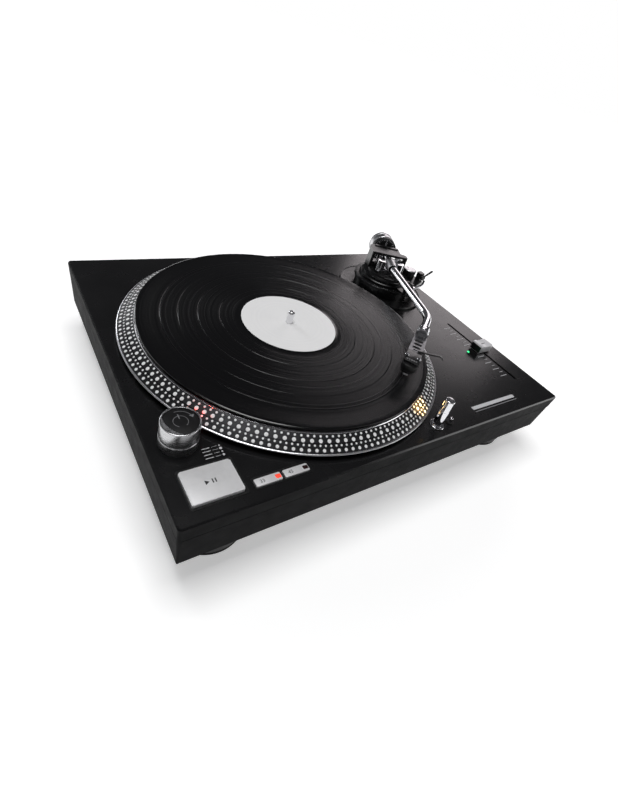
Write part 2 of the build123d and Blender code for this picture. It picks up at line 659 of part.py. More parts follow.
# Tower: stem in the base, flange over the ring, and the side bracket that
# carries the anti-skate dial, the cue gear and the arm rest.
with BuildPart() as arm_tower:
    with BuildSketch(PV_PLANE):
        with BuildLine():
            Polyline((3.05, z(9.0)), (8.0, z(9.0)), (8.0, z(18.0)), (26.0, z(18.0)), (26.0, z(4.0)), (STEM_R, z(4.0)),
                     (STEM_R, z(18.0)), (35.0, z(18.0)), (35.0, z(20.6)), (34.2, z(21.2)), (31.5, z(21.2)), (31.5, z(24.0)),
                     (25.0, z(24.0)), (24.2, z(26.0)), (3.05, z(26.0)), close=True)
        make_face()
    revolve(axis=PV_AXIS)
    # bracket plate
    with BuildSketch(Plane.XY.offset(z(18.0))):
        with BuildLine():
            Polyline((145.5, 44.0), (145.5, 24.0), (160.0, 22.5), (180.0, 42.0), (205.0, 52.5), (205.0, 64.0), (199.0, 78.5), (183.0, 80.0), (176.0, 62.0), close=True)
        make_face()
    extrude(amount=2.5)
    # cue post block, reaching down outside the height ring
    with BuildSketch(Plane.XY.offset(z(7.0))):
        with Locations((CPX, CPY)):
            RectangleRounded(8.0, 8.0, 1.2)
    extrude(amount=25.0)
    # cradle of the arm rest
    with BuildSketch(Plane.XY.offset(z(20.5))):
        with Locations((149.0, 28.5)):
            Rectangle(5.0, 5.0)
    extrude(amount=9.5)
    with BuildSketch(Plane.XZ.offset(-31.0)):
        with BuildLine():
            Polyline((141.5, z(34.0)), (141.5, z(29.5)), (143.0, z(28.0)), (156.5, z(28.0)), (156.5, z(34.0)), (153.6, z(34.0)),
                     (151.4, z(31.6)), (148.8, z(30.9)), (146.2, z(31.6)), (144.0, z(34.0)), close=True)
        make_face()
    extrude(amount=5.0)
    # guide of the cue lift
    with BuildSketch(Plane.XY.offset(z(18.0))):
        with Locations((155.0, 33.5)):
            Circle(3.6)
    extrude(amount=6.0)
    with BuildSketch(Plane.XY.offset(z(8.0))):
        with Locations((155.0, 33.5)):
            Circle(1.86)
    extrude(amount=30.0, mode=Mode.SUBTRACT)
    # anti-skate shaft hole
    with BuildSketch(Plane.XY.offset(z(10.0))):
        with Locations((AKX, AKY)):
            Circle(2.06)
    extrude(amount=20.0, mode=Mode.SUBTRACT)
    # clearance pocket round the anti-skate dial
    with BuildSketch(Plane.XY.offset(z(20.4))):
        with Locations((AKX, AKY)):
            Circle(9.15)
    extrude(amount=10.0, mode=Mode.SUBTRACT)
    # bearings of the rest clip and of the cue lever
    with BuildSketch(Plane(origin=(CLX, 50.0, z(CLZ)), x_dir=(1, 0, 0), z_dir=(0, 1, 0))):
        Circle(1.26)
    extrude(amount=7.6, mode=Mode.SUBTRACT)
    with BuildSketch(Plane.XZ.offset(-40.0)):
        with Locations((154.9, z(30.2))):
            Circle(0.86)
    extrude(amount=20.0, mode=Mode.SUBTRACT)
arm_tower.part.label = "arm_tower"
export_step(arm_tower.part, "parts/arm_tower.step")

# Arched guard over the gimbal, standing on the tower.
with BuildPart() as pivot_arch:
    with BuildSketch(arm_plane(44.8)):
        with BuildLine():
            Polyline((-25.0, 5.0), (-25.0, 27.0), (-20.0, 30.5), (15.5, 30.5), (17.0, 29.0), (17.0, 15.5), (23.0, 14.0), (25.0, 12.0), (25.0, 5.0), close=True)
        make_face()
    extrude(amount=3.2)
    with BuildSketch(arm_plane(18.0)):
        with Locations((-23.1, 15.0)):
            Rectangle(3.8, 20.0)
        with Locations((23.1, 8.5)):
            Rectangle(3.8, 7.0)
    extrude(amount=27.0)
    add(arm_tower.part, mode=Mode.SUBTRACT)
    with BuildSketch(arm_plane(46.8)):
        with Locations((-1.0, 28.0)):
            RectangleRounded(34.0, 4.6, 2.0)
    extrude(amount=2.4)

# Gimbal: rounded ring on a yoke, with the vertical bearing shaft below.
with BuildPart() as gimbal_ring:
    with BuildSketch(arm_plane(28.5)):
        with Locations((0, -2)):
            RectangleRounded(36, 22, 5)
            RectangleRounded(30.6, 16.6, 3, mode=Mode.SUBTRACT)
    extrude(amount=15.0)
    with BuildSketch(arm_plane(31.5)):
        with Locations((0, -11), (0, 8)):
            Rectangle(17.6, 8)
    extrude(amount=15.0, mode=Mode.SUBTRACT)
    with BuildSketch(arm_plane(28.5)):
        Rectangle(34, 8)
    extrude(amount=2.5)
    with BuildSketch(arm_plane(26.3)):
        Circle(7.5)
    extrude(amount=2.4)
    with BuildSketch(arm_plane(10.0)):
        Circle(3.0)
    extrude(amount=18.0)
    with BuildSketch(Plane(origin=(PX - 30 * ca, PY + 30 * sa, AZ), x_dir=(0, 0, 1), z_dir=(ca, -sa, 0))):
        Circle(1.56)
    extrude(amount=60, mode=Mode.SUBTRACT)

# Bearing block with its pivot pins, the conical collar and the rear stub.
with BuildPart() as arm_bearing_block:
    with BuildSketch(arm_plane(35.2)):
        RectangleRounded(12, 10, 1.5)
    extrude(amount=8.6)
    with BuildSketch(Plane(origin=(PX - 17.6 * ca, PY + 17.6 * sa, AZ), x_dir=(0, 0, 1), z_dir=(ca, -sa, 0))):
        Circle(1.5)
    extrude(amount=35.2)
    with BuildSketch(along_arm(5.0)):
        Circle(3.5)
    extrude(amount=59.0)
    with BuildSketch(along_arm(-5.0)):
        Circle(7.0)
    with BuildSketch(along_arm(-22.0)):
        Circle(6.0)
    loft()
    with BuildSketch(along_arm(-22.0)):
        Circle(5.2)
    extrude(amount=4.0, mode=Mode.SUBTRACT)

# S-shaped arm tube.
T0 = (PX - 18.4 * sa, PY - 18.4 * ca, AZ)
T1 = (105.5, -50.4, AZ)
T2 = (HOX - 7.2 * hx, HOY - 7.2 * hy, AZ)
with BuildPart() as arm_tube:
    with BuildLine() as tube_path:
        FilletPolyline(T0, T1, T2, radius=42)
    with BuildSketch(Plane(origin=T0, z_dir=(T1[0] - T0[0], T1[1] - T0[1], 0))):
        Circle(4.5)
        Circle(3.6, mode=Mode.SUBTRACT)
    sweep()

# ================================================================= headshell
with BuildPart() as headshell_nut:
    with BuildSketch(along_shell(-9.0)):
        Circle(6.7)
    extrude(amount=10.5)
    chamfer(headshell_nut.edges().filter_by(GeomType.CIRCLE), 0.7)
    with BuildSketch(along_shell(-10.0)):
        Circle(4.57)
    extrude(amount=12.0, mode=Mode.SUBTRACT)
    with BuildSketch(along_shell(-9.5)):
        with PolarLocations(6.9, 20):
            Circle(0.45)
    extrude(amount=12.0, mode=Mode.SUBTRACT)

with BuildPart() as headshell:
    with BuildSketch(along_shell(-6.6)):
        Circle(4.5)
    extrude(amount=9.0)
    with BuildSketch(along_shell(1.9)):
        Circle(6.0)
    extrude(amount=2.6)
    with BuildSketch(shell_plane(36.0)):
        with BuildLine():
            Polyline((4.4, -6.6), (40.0, -7.2), (40.0, 8.0), (4.4, 7.0), close=True)
        make_face()
    extrude(amount=2.4)
    with BuildSketch(shell_plane(36.0)):
        with BuildLine():
            Polyline((4.4, -5.0), (12.0, -3.0), (12.0, 3.0), (4.4, 5.0), close=True)
        make_face()
    extrude(amount=5.6)
    with BuildSketch(shell_plane(36.0)):
        with Locations((18.0, 0.0), (25.0, 0.0), (32.0, 0.0)):
            SlotOverall(9.0, 4.2, rotation=90)
        with Locations((37.2, 0.0)):
            SlotOverall(5.0, 1.8, rotation=90)
    extrude(amount=10, mode=Mode.SUBTRACT)

# Dark front plate that the cartridge is screwed to.
with BuildPart() as shell_tip:
    with BuildSketch(shell_plane(35.6)):
        with BuildLine():
            Polyline((40.0, -7.2), (60.0, -7.8), (61.0, -6.8), (61.0, 7.4), (60.0, 8.4), (40.0, 8.0), close=True)
        make_face()
    extrude(amount=2.8)
    with BuildSketch(shell_plane(35.6)):
        with Locations((52.5, -6.0), (52.5, 6.3)):
            Circle(1.25)
    extrude(amount=2.8, mode=Mode.SUBTRACT)

with BuildPart() as finger_lift:
    with BuildSketch(shell_plane(38.4)):
        with BuildLine():
            Polyline((39.0, 3.5), (39.0, 7.5), (38.2, 12.0), (36.2, 17.5), (33.4, 22.5), (29.6, 28.2), (26.9, 26.4),
                     (30.4, 21.0), (33.0, 16.0), (34.6, 11.5), (35.2, 7.5), (35.2, 3.5), close=True)
        make_face()
    extrude(amount=1.2)
    with BuildSketch(shell_plane(34.6)):
        with BuildLine():
            Polyline((29.6, 28.2), (26.9, 26.4), (26.2, 27.4), (28.9, 29.2), close=True)
        make_face()
    extrude(amount=5.0)

with BuildPart() as cartridge:
    with BuildSketch(shell_plane(25.6)):
        with BuildLine():
            Polyline((43.0, -7.0), (62.0, -7.6), (65.4, -4.5), (65.4, 4.7), (62.0, 8.0), (43.0, 7.6), close=True)
        make_face()
    extrude(amount=10.0)
    with BuildSketch(shell_plane(30.0)):
        with Locations((52.5, -6.0), (52.5, 6.3)):
            Circle(1.25)
    extrude(amount=10, mode=Mode.SUBTRACT)
    with BuildSketch(along_shell(38.0)):
        with Locations(*[(x, y) for x in (-3.0, 3.0) for y in (-7.0, -11.0)]):
            Circle(0.6)
    extrude(amount=5.5)

with BuildPart() as stylus:
    with BuildSketch(shell_plane(23.8)):
        with Locations((60.5, 0)):
            RectangleRounded(8.0, 6.0, 1.0)
    extrude(amount=1.8)
    with BuildSketch(shell_plane(22.4)):
        with Locations((62.5, 0)):
            Circle(0.5)
    extrude(amount=1.6)

with BuildPart() as headshell_screws:
    with BuildSketch(shell_plane(38.4)):
        with Locations((52.5, -6.0), (52.5, 6.3)):
            Circle(2.1)
    extrude(amount=1.6)
    with BuildSketch(shell_plane(31.0)):
        with Locations((52.5, -6.0), (52.5, 6.3)):
            Circle(1.2)
    extrude(amount=7.6)
    with BuildSketch(shell_plane(39.4)):
        with Locations((52.5, -6.0), (52.5, 6.3)):
            Rectangle(0.7, 5)
    extrude(amount=1, mode=Mode.SUBTRACT)

# ============================================================= counterweight
with BuildPart() as counterweight:
    with BuildSketch(along_arm(45.2)):
        Circle(17.5)
    extrude(amount=17.0)
    chamfer(counterweight.edges().filter_by(GeomType.CIRCLE), 0.8)
    with BuildSketch(along_arm(56.0)):
        Circle(18.5)
        Circle(16.9, mode=Mode.SUBTRACT)
    extrude(amount=1.2, mode=Mode.SUBTRACT)
    with BuildSketch(along_arm(45.0)):
        Circle(3.58)
    extrude(amount=18.0, mode=Mode.SUBTRACT)

with BuildPart() as force_dial:
    with BuildSketch(along_arm(38.0)):
        Circle(17.3)
    extrude(amount=6.9)
    chamfer(force_dial.edges().filter_by(GeomType.CIRCLE).group_by(Axis.Y)[0], 0.8)
    with BuildSketch(along_arm(37.0)):
        Circle(3.58)
    extrude(amount=9.0, mode=Mode.SUBTRACT)

# ============================================== anti-skate, cueing, arm rest
with BuildPart() as anti_skate_dial:
    with BuildSketch(Plane(origin=(AKX, AKY, z(20.9)))):
        Circle(8.75)
    extrude(amount=11.1)
    chamfer(anti_skate_dial.faces().sort_by(Axis.Z)[-1].edges(), 0.5)
    with BuildSketch(Plane(origin=(AKX, AKY, z(18.2)))):
        Circle(2.0)
    extrude(amount=2.8)

with BuildPart() as cue_lever:
    with BuildSketch(Plane(origin=(CLX, 53.6, z(CLZ)), x_dir=(1, 0, 0), z_dir=(0, -1, 0))):
        Circle(3.6)
    extrude(amount=4.0)
    with BuildSketch(Plane(origin=(CLX, 57.0, z(CLZ)), x_dir=(1, 0, 0), z_dir=(0, -1, 0))):
        Circle(1.2)
    extrude(amount=4.0)
    with BuildSketch(Plane(origin=(CLX, 53.0, z(CLZ)), x_dir=(cos(radians(32)), 0, sin(radians(32))), z_dir=(0, -1, 0))):
        with Locations((8.0, 0)):
            SlotOverall(20.0, 2.8)
    extrude(amount=2.8)

with BuildPart() as cue_lift:
    with BuildSketch(Plane(origin=(PX, PY, z(31.6)))):
        with BuildLine():
            a0, a1 = radians(-90 - 46), radians(-90 + 4)
            CenterArc((0, 0), 44.6, -136, 50)
            CenterArc((0, 0), 41.2, -136, 50)
            Line((44.6 * cos(a0), 44.6 * sin(a0)), (41.2 * cos(a0), 41.2 * sin(a0)))
            Line((44.6 * cos(a1), 44.6 * sin(a1)), (41.2 * cos(a1), 41.2 * sin(a1)))
        make_face()
    extrude(amount=2.6)
    with BuildSketch(Plane.XY.offset(z(15.0))):
        with Locations((155.0, 33.5)):
            Circle(1.8)
    extrude(amount=18.0)

# Hook that swings over the parked arm, shown folded out to the right.
RX, RZ = 154.9, 30.2
with BuildPart() as arm_rest_clip:
    with BuildSketch(Plane(origin=(RX, 25.7, z(RZ)), x_dir=(1, 0, 0), z_dir=(0, 1, 0))):
        Circle(0.8)
    extrude(amount=3.0)
    with BuildSketch(Plane(origin=(RX, 25.7, z(RZ)), x_dir=(1, 0, 0), z_dir=(0, -1, 0))):
        with BuildLine():
            Polyline((-1.6, -1.6), (2.0, -1.6), (12.6, 1.0), (16.4, 5.4), (16.0, 10.2), (14.4, 9.9), (14.6, 6.0), (11.8, 2.8), (1.4, 1.6), (-1.6, 1.6), close=True)
        make_face()
    extrude(amount=3.2)

PIECES = {
    "pivot_arch": pivot_arch, "gimbal_ring": gimbal_ring, "arm_bearing_block": arm_bearing_block,
    "arm_tube": arm_tube, "headshell_nut": headshell_nut, "headshell": headshell, "shell_tip": shell_tip,
    "finger_lift": finger_lift, "cartridge": cartridge, "stylus": stylus, "headshell_screws": headshell_screws,
    "counterweight": counterweight, "force_dial": force_dial, "anti_skate_dial": anti_skate_dial,
    "cue_lever": cue_lever, "cue_lift": cue_lift, "arm_rest_clip": arm_rest_clip,
}
for piece_name, piece in PIECES.items():
    piece.part.label = piece_name
    export_step(piece.part, f"parts/{piece_name}.step")
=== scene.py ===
import bpy
import bmesh
import json
import math
import random
from mathutils import Vector, Matrix


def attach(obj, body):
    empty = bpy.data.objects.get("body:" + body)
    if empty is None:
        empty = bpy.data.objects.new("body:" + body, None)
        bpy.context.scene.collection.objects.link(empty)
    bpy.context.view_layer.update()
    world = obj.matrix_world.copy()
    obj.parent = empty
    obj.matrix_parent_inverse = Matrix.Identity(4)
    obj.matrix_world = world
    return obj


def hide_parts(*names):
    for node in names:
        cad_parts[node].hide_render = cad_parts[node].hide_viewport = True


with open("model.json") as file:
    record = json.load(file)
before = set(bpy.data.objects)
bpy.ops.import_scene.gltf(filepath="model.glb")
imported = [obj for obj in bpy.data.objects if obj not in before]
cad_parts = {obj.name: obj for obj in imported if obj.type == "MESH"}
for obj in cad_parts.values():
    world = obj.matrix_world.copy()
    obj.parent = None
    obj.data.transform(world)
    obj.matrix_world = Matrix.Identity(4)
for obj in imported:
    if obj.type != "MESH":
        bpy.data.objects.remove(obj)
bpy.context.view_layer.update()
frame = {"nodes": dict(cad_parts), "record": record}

ZP = 82.0
SX, SY = -48.3, -2.4
PX, PY = 152.5, 77.0
ARM_H = 39.5
CA, SA = math.cos(math.radians(28)), math.sin(math.radians(28))
HX, HY = -0.8097, -0.5868
HOX, HOY = 72.3, -74.4
KX, KY = -200.5, -106.0
FX, FY = 195.5, -78.0
random.seed(7)

scene = bpy.context.scene


def P3(x, y, h):
    """Millimetres over the chassis plate -> metres in the shared frame."""
    return Vector((x / 1000.0, y / 1000.0, (h + ZP) / 1000.0))


# ------------------------------------------------------------------ materials
def new_mat(name):
    m = bpy.data.materials.new(name)
    m.use_nodes = True
    nt = m.node_tree
    b = nt.nodes["Principled BSDF"]
    return m, nt, b


def surf(name, color, rough=0.4, metal=0.0, scale=60.0, var=0.12, rvar=0.08, bump=0.03, bscale=900.0,
         coat=0.0, coat_rough=0.1, spec=0.5, stretch=None, emit=None, estr=0.0, wear=0.0, sheen=0.0, ior=None):
    """A procedural finish: drifting tone, uneven gloss and fine relief."""
    m, nt, b = new_mat(name)
    N, L = nt.nodes, nt.links
    tc = N.new("ShaderNodeTexCoord")
    mp = N.new("ShaderNodeMapping")
    L.new(tc.outputs["Object"], mp.inputs["Vector"])
    if stretch:
        mp.inputs["Scale"].default_value = stretch
    n1 = N.new("ShaderNodeTexNoise")
    n1.inputs["Scale"].default_value = scale
    n1.inputs["Detail"].default_value = 6.0
    L.new(mp.outputs["Vector"], n1.inputs["Vector"])
    ramp = N.new("ShaderNodeValToRGB")
    lo = [max(0.0, c * (1 - var)) for c in color]
    hi = [min(1.0, c * (1 + var) + 0.002) for c in color]
    ramp.color_ramp.elements[0].color = (*lo, 1)
    ramp.color_ramp.elements[1].color = (*hi, 1)
    ramp.color_ramp.elements[0].position = 0.3
    ramp.color_ramp.elements[1].position = 0.7
    L.new(n1.outputs["Fac"], ramp.inputs["Fac"])
    col = ramp.outputs["Color"]
    if wear > 0:
        geo = N.new("ShaderNodeNewGeometry")
        wr = N.new("ShaderNodeMapRange")
        wr.inputs["From Min"].default_value = 0.52
        wr.inputs["From Max"].default_value = 0.60
        wr.inputs["To Max"].default_value = wear
        L.new(geo.outputs["Pointiness"], wr.inputs["Value"])
        mx = N.new("ShaderNodeMix")
        mx.data_type = "RGBA"
        mx.inputs[7].default_value = (min(1, color[0] * 3 + 0.1), min(1, color[1] * 3 + 0.1), min(1, color[2] * 3 + 0.1), 1)
        L.new(wr.outputs["Result"], mx.inputs[0])
        L.new(col, mx.inputs[6])
        col = mx.outputs[2]
    L.new(col, b.inputs["Base Color"])
    n2 = N.new("ShaderNodeTexNoise")
    n2.inputs["Scale"].default_value = scale * 2.7
    n2.inputs["Detail"].default_value = 8.0
    L.new(mp.outputs["Vector"], n2.inputs["Vector"])
    mr = N.new("ShaderNodeMapRange")
    mr.inputs["From Min"].default_value = 0.3
    mr.inputs["From Max"].default_value = 0.7
    mr.inputs["To Min"].default_value = max(0.02, rough - rvar)
    mr.inputs["To Max"].default_value = min(1.0, rough + rvar)
    L.new(n2.outputs["Fac"], mr.inputs["Value"])
    L.new(mr.outputs["Result"], b.inputs["Roughness"])
    n3 = N.new("ShaderNodeTexNoise")
    n3.inputs["Scale"].default_value = bscale
    n3.inputs["Detail"].default_value = 3.0
    L.new(mp.outputs["Vector"], n3.inputs["Vector"])
    bp = N.new("ShaderNodeBump")
    bp.inputs["Strength"].default_value = bump
    bp.inputs["Distance"].default_value = 0.0004
    L.new(n3.outputs["Fac"], bp.inputs["Height"])
    L.new(bp.outputs["Normal"], b.inputs["Normal"])
    b.inputs["Metallic"].default_value = metal
    b.inputs["Specular IOR Level"].default_value = spec
    b.inputs["Coat Weight"].default_value = coat
    b.inputs["Coat Roughness"].default_value = coat_rough
    if sheen:
        b.inputs["Sheen Weight"].default_value = sheen
        b.inputs["Sheen Roughness"].default_value = 0.5
    if ior:
        b.inputs["IOR"].default_value = ior
    if emit:
        b.inputs["Emission Color"].default_value = (*emit, 1)
        b.inputs["Emission Strength"].default_value = estr
    return m


def ring_mat(name, color, cx, cy, rough, metal, pitch, bump, aniso=0.0, coat=0.0, bands=(), var=0.15, coat_rough=0.08, spec=0.5):
    """Turned or grooved finish: rings about a vertical axis at (cx, cy) mm."""
    m, nt, b = new_mat(name)
    N, L = nt.nodes, nt.links
    tc = N.new("ShaderNodeTexCoord")
    mp = N.new("ShaderNodeMapping")
    mp.inputs["Location"].default_value = (-cx / 1000, -cy / 1000, 0)
    mp.inputs["Scale"].default_value = (1, 1, 0)
    L.new(tc.outputs["Object"], mp.inputs["Vector"])
    ln = N.new("ShaderNodeVectorMath")
    ln.operation = "LENGTH"
    L.new(mp.outputs["Vector"], ln.inputs[0])
    k = N.new("ShaderNodeMath")
    k.operation = "MULTIPLY"
    k.inputs[1].default_value = 2 * math.pi / (pitch / 1000)
    L.new(ln.outputs["Value"], k.inputs[0])
    s = N.new("ShaderNodeMath")
    s.operation = "SINE"
    L.new(k.outputs[0], s.inputs[0])
    nz = N.new("ShaderNodeTexNoise")
    nz.noise_dimensions = "1D"
    nz.inputs["Scale"].default_value = 1.0
    nz.inputs["Detail"].default_value = 4.0
    k2 = N.new("ShaderNodeMath")
    k2.operation = "MULTIPLY"
    k2.inputs[1].default_value = 420.0
    L.new(ln.outputs["Value"], k2.inputs[0])
    L.new(k2.outputs[0], nz.inputs["W"])
    ad = N.new("ShaderNodeMath")
    ad.operation = "MULTIPLY_ADD"
    ad.inputs[1].default_value = 0.5
    L.new(s.outputs[0], ad.inputs[0])
    L.new(nz.outputs["Fac"], ad.inputs[2])
    bp = N.new("ShaderNodeBump")
    bp.inputs["Strength"].default_value = bump
    bp.inputs["Distance"].default_value = 0.0003
    L.new(ad.outputs[0], bp.inputs["Height"])
    L.new(bp.outputs["Normal"], b.inputs["Normal"])
    mr = N.new("ShaderNodeMapRange")
    mr.inputs["From Min"].default_value = 0.3
    mr.inputs["From Max"].default_value = 0.7
    mr.inputs["To Min"].default_value = max(0.03, rough * 0.7)
    mr.inputs["To Max"].default_value = min(1, rough * 1.3)
    L.new(nz.outputs["Fac"], mr.inputs["Value"])
    rr = mr.outputs["Result"]
    for (r0, r1, val) in bands:
        a = N.new("ShaderNodeMath"); a.operation = "GREATER_THAN"; a.inputs[1].default_value = r0 / 1000
        c = N.new("ShaderNodeMath"); c.operation = "LESS_THAN"; c.inputs[1].default_value = r1 / 1000
        d = N.new("ShaderNodeMath"); d.operation = "MULTIPLY"
        L.new(ln.outputs["Value"], a.inputs[0]); L.new(ln.outputs["Value"], c.inputs[0])
        L.new(a.outputs[0], d.inputs[0]); L.new(c.outputs[0], d.inputs[1])
        mx = N.new("ShaderNodeMix"); mx.data_type = "FLOAT"
        L.new(d.outputs[0], mx.inputs[0]); L.new(rr, mx.inputs[2]); mx.inputs[3].default_value = val
        rr = mx.outputs[0]
    L.new(rr, b.inputs["Roughness"])
    ramp = N.new("ShaderNodeValToRGB")
    ramp.color_ramp.elements[0].color = (*[c * (1 - var) for c in color], 1)
    ramp.color_ramp.elements[1].color = (*[min(1, c * (1 + var)) for c in color], 1)
    L.new(nz.outputs["Fac"], ramp.inputs["Fac"])
    L.new(ramp.outputs["Color"], b.inputs["Base Color"])
    b.inputs["Metallic"].default_value = metal
    b.inputs["Specular IOR Level"].default_value = spec
    b.inputs["Coat Weight"].default_value = coat
    b.inputs["Coat Roughness"].default_value = coat_rough
    if aniso:
        b.inputs["Anisotropic"].default_value = aniso
        tg = N.new("ShaderNodeTangent")
        tg.direction_type = "RADIAL"
        tg.axis = "Z"
        L.new(tg.outputs["Tangent"], b.inputs["Tangent"])
    return m


M = {}
M["plate"] = surf("black_lacquer", (0.0055, 0.0055, 0.006), rough=0.26, scale=14, var=0.15, rvar=0.03, bump=0.03, bscale=2600, coat=0.22, coat_rough=0.17, spec=0.30)
M["body"] = surf("body_plastic", (0.0045, 0.0045, 0.005), rough=0.52, scale=30, rvar=0.05, bump=0.14, bscale=3200, spec=0.02)
M["steel"] = surf("steel_sheet", (0.10, 0.10, 0.105), rough=0.42, metal=0.9, scale=90, var=0.2, bump=0.06, bscale=500)
M["screw"] = surf("screw_steel", (0.45, 0.45, 0.47), rough=0.3, metal=1.0, scale=400, var=0.15)
M["copper"] = surf("copper_winding", (0.55, 0.23, 0.09), rough=0.35, metal=0.8, scale=120, var=0.25, stretch=(1, 1, 14), bump=0.5, bscale=700)
M["pcb"] = surf("circuit_board", (0.02, 0.13, 0.05), rough=0.4, scale=160, var=0.35, bump=0.1, bscale=400)
M["black"] = surf("black_plastic", (0.006, 0.006, 0.0065), rough=0.38, scale=120, rvar=0.06, bump=0.08, bscale=3500, spec=0.28)
M["matte"] = surf("black_matte", (0.008, 0.008, 0.0085), rough=0.62, scale=120, rvar=0.06, bump=0.10, bscale=3500, spec=0.2)
M["rubber"] = surf("rubber", (0.008, 0.008, 0.008), rough=0.72, scale=80, rvar=0.06, bump=0.25, bscale=2400, spec=0.2)
M["red"] = surf("red_lens", (0.75, 0.02, 0.01), rough=0.12, scale=300, emit=(1.0, 0.05, 0.02), estr=3.5, coat=0.5)
M["green"] = surf("green_lens", (0.03, 0.55, 0.18), rough=0.2, scale=300, emit=(0.05, 0.9, 0.3), estr=1.6, coat=0.5)
M["redled"] = surf("red_window", (0.7, 0.03, 0.02), rough=0.2, scale=400, emit=(1.0, 0.10, 0.05), estr=0.7)
M["darkwin"] = surf("dark_window", (0.02, 0.004, 0.004), rough=0.12, scale=400, coat=0.6)
M["lamp"] = surf("warm_lamp", (1.0, 0.78, 0.45), rough=0.2, scale=300, emit=(1.0, 0.66, 0.28), estr=6.0)
M["silver"] = surf("silver_plastic", (0.80, 0.80, 0.81), rough=0.36, metal=0.30, scale=220, var=0.03, rvar=0.04, bump=0.03, bscale=2600)
M["alloy"] = surf("silver_alloy", (0.56, 0.56, 0.575), rough=0.30, metal=1.0, scale=260, var=0.10, rvar=0.06, bump=0.05, bscale=1800)
M["alloy_dark"] = surf("grey_alloy", (0.30, 0.30, 0.315), rough=0.34, metal=0.9, scale=300, var=0.12, bump=0.12, bscale=2600)
M["chrome"] = surf("chrome", (0.80, 0.80, 0.82), rough=0.10, metal=1.0, scale=150, var=0.05, rvar=0.05, bump=0.012, bscale=900)
M["black_alloy"] = surf("black_alloy", (0.006, 0.006, 0.0065), rough=0.30, scale=90, rvar=0.05, bump=0.06, bscale=2400, coat=0.12, coat_rough=0.2, spec=0.35)
M["ferrite"] = surf("ferrite", (0.05, 0.05, 0.052), rough=0.6, scale=160, bump=0.2, bscale=900)
M["pale"] = surf("diamond_tip", (0.5, 0.5, 0.52), rough=0.4, scale=300)
M["white_ink"] = surf("pale_ink", (0.62, 0.62, 0.64), rough=0.5, scale=500, var=0.08)
M["grey_ink"] = surf("grey_ink", (0.20, 0.20, 0.21), rough=0.5, scale=500, var=0.08)
M["tick_ink"] = surf("tick_ink", (0.02, 0.02, 0.022), rough=0.5, scale=500, var=0.08)
M["dot"] = surf("strobe_dot", (0.93, 0.93, 0.94), rough=0.36, metal=0.0, scale=700, var=0.04, coat=0.1)
M["platter"] = ring_mat("platter_band", (0.022, 0.022, 0.024), SX, SY, 0.36, 0.55, 0.9, 0.10, var=0.25, spec=0.3)
M["rim"] = ring_mat("turned_rim", (0.62, 0.62, 0.64), SX, SY, 0.22, 1.0, 0.5, 0.05, aniso=0.5)
M["vinyl"] = ring_mat("vinyl_grooves", (0.0035, 0.0035, 0.004), SX, SY, 0.22, 0.0, 0.55, 0.10, aniso=0.85, coat=0.06, spec=0.42,
                      bands=((50.0, 56.0, 0.10), (71.0, 71.9, 0.08), (92.6, 93.4, 0.08), (111.5, 112.3, 0.08), (128.0, 128.8, 0.08), (146.0, 151.5, 0.10)))
M["felt"] = surf("felt", (0.02, 0.02, 0.021), rough=0.95, scale=300, var=0.35, bump=0.9, bscale=1500, sheen=0.4)
M["paper"] = ring_mat("label_paper", (0.93, 0.93, 0.93), SX, SY, 0.5, 0.0, 9.0, 0.02, var=0.03)
M["knob_side"] = surf("knob_side", (0.60, 0.60, 0.61), rough=0.26, metal=1.0, scale=60, var=0.14, stretch=(1, 1, 30), bump=0.04, bscale=400)

SLOT_MAT = {
    "black_lacquer": "plate", "body_plastic": "body", "steel_sheet": "steel", "screw_steel": "screw", "copper_winding": "copper",
    "circuit_board": "pcb", "black_plastic": "black", "red_lens": "red", "green_lens": "green", "rubber": "rubber",
    "platter_alloy": "platter", "ferrite": "ferrite", "polished_steel": "chrome", "felt": "felt", "vinyl": "vinyl", "paper": "paper",
    "silver_alloy": "alloy", "silver_plastic": "silver", "chrome": "chrome", "black_alloy": "black_alloy", "grey_alloy": "alloy_dark",
    "warm_lamp": "lamp", "diamond_tip": "pale",
}
slot_of = {s["node"]: s["material_slot"] for s in frame["record"]["subparts"]}
node_body = {n: b for b, ns in frame["record"]["behaviour"]["bodies"].items() for n in ns}
for n, ob in frame["nodes"].items():
    mm = M[SLOT_MAT[slot_of[n]]]
    ob.data.materials.clear()
    ob.data.materials.append(mm)
    # the top chassis's sideways faces take the darker, barely reflective body finish: partly a real change from lacquer
    # to satin, partly painted shade that damps the floor light they would reflect
    if n == "top_chassis":
        ob.data.materials.append(M["body"])
    for p in ob.data.polygons:
        p.material_index = 1 if n == "top_chassis" and p.normal.z < 0.5 else 0


# ------------------------------------------------------------------ mesh tools
def finish_mesh(name, bm, mat, body, node=None, sharp=32.0):
    bmesh.ops.remove_doubles(bm, verts=bm.verts, dist=1e-7)
    bmesh.ops.recalc_face_normals(bm, faces=bm.faces)
    for f in bm.faces:
        f.smooth = True
    lim = math.radians(sharp)
    for e in bm.edges:
        if len(e.link_faces) == 2:
            e.smooth = e.calc_face_angle(0.0) < lim
    me = bpy.data.meshes.new(name)
    bm.to_mesh(me)
    bm.free()
    ob = bpy.data.objects.new(name, me)
    bpy.context.collection.objects.link(ob)
    mats = mat if isinstance(mat, (list, tuple)) else [mat]
    for q in mats:
        me.materials.append(M[q])
    if body:
        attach(ob, body)
        if node:
            for nn in (node if isinstance(node, (list, tuple)) else [node]):
                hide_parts(nn)
    return ob


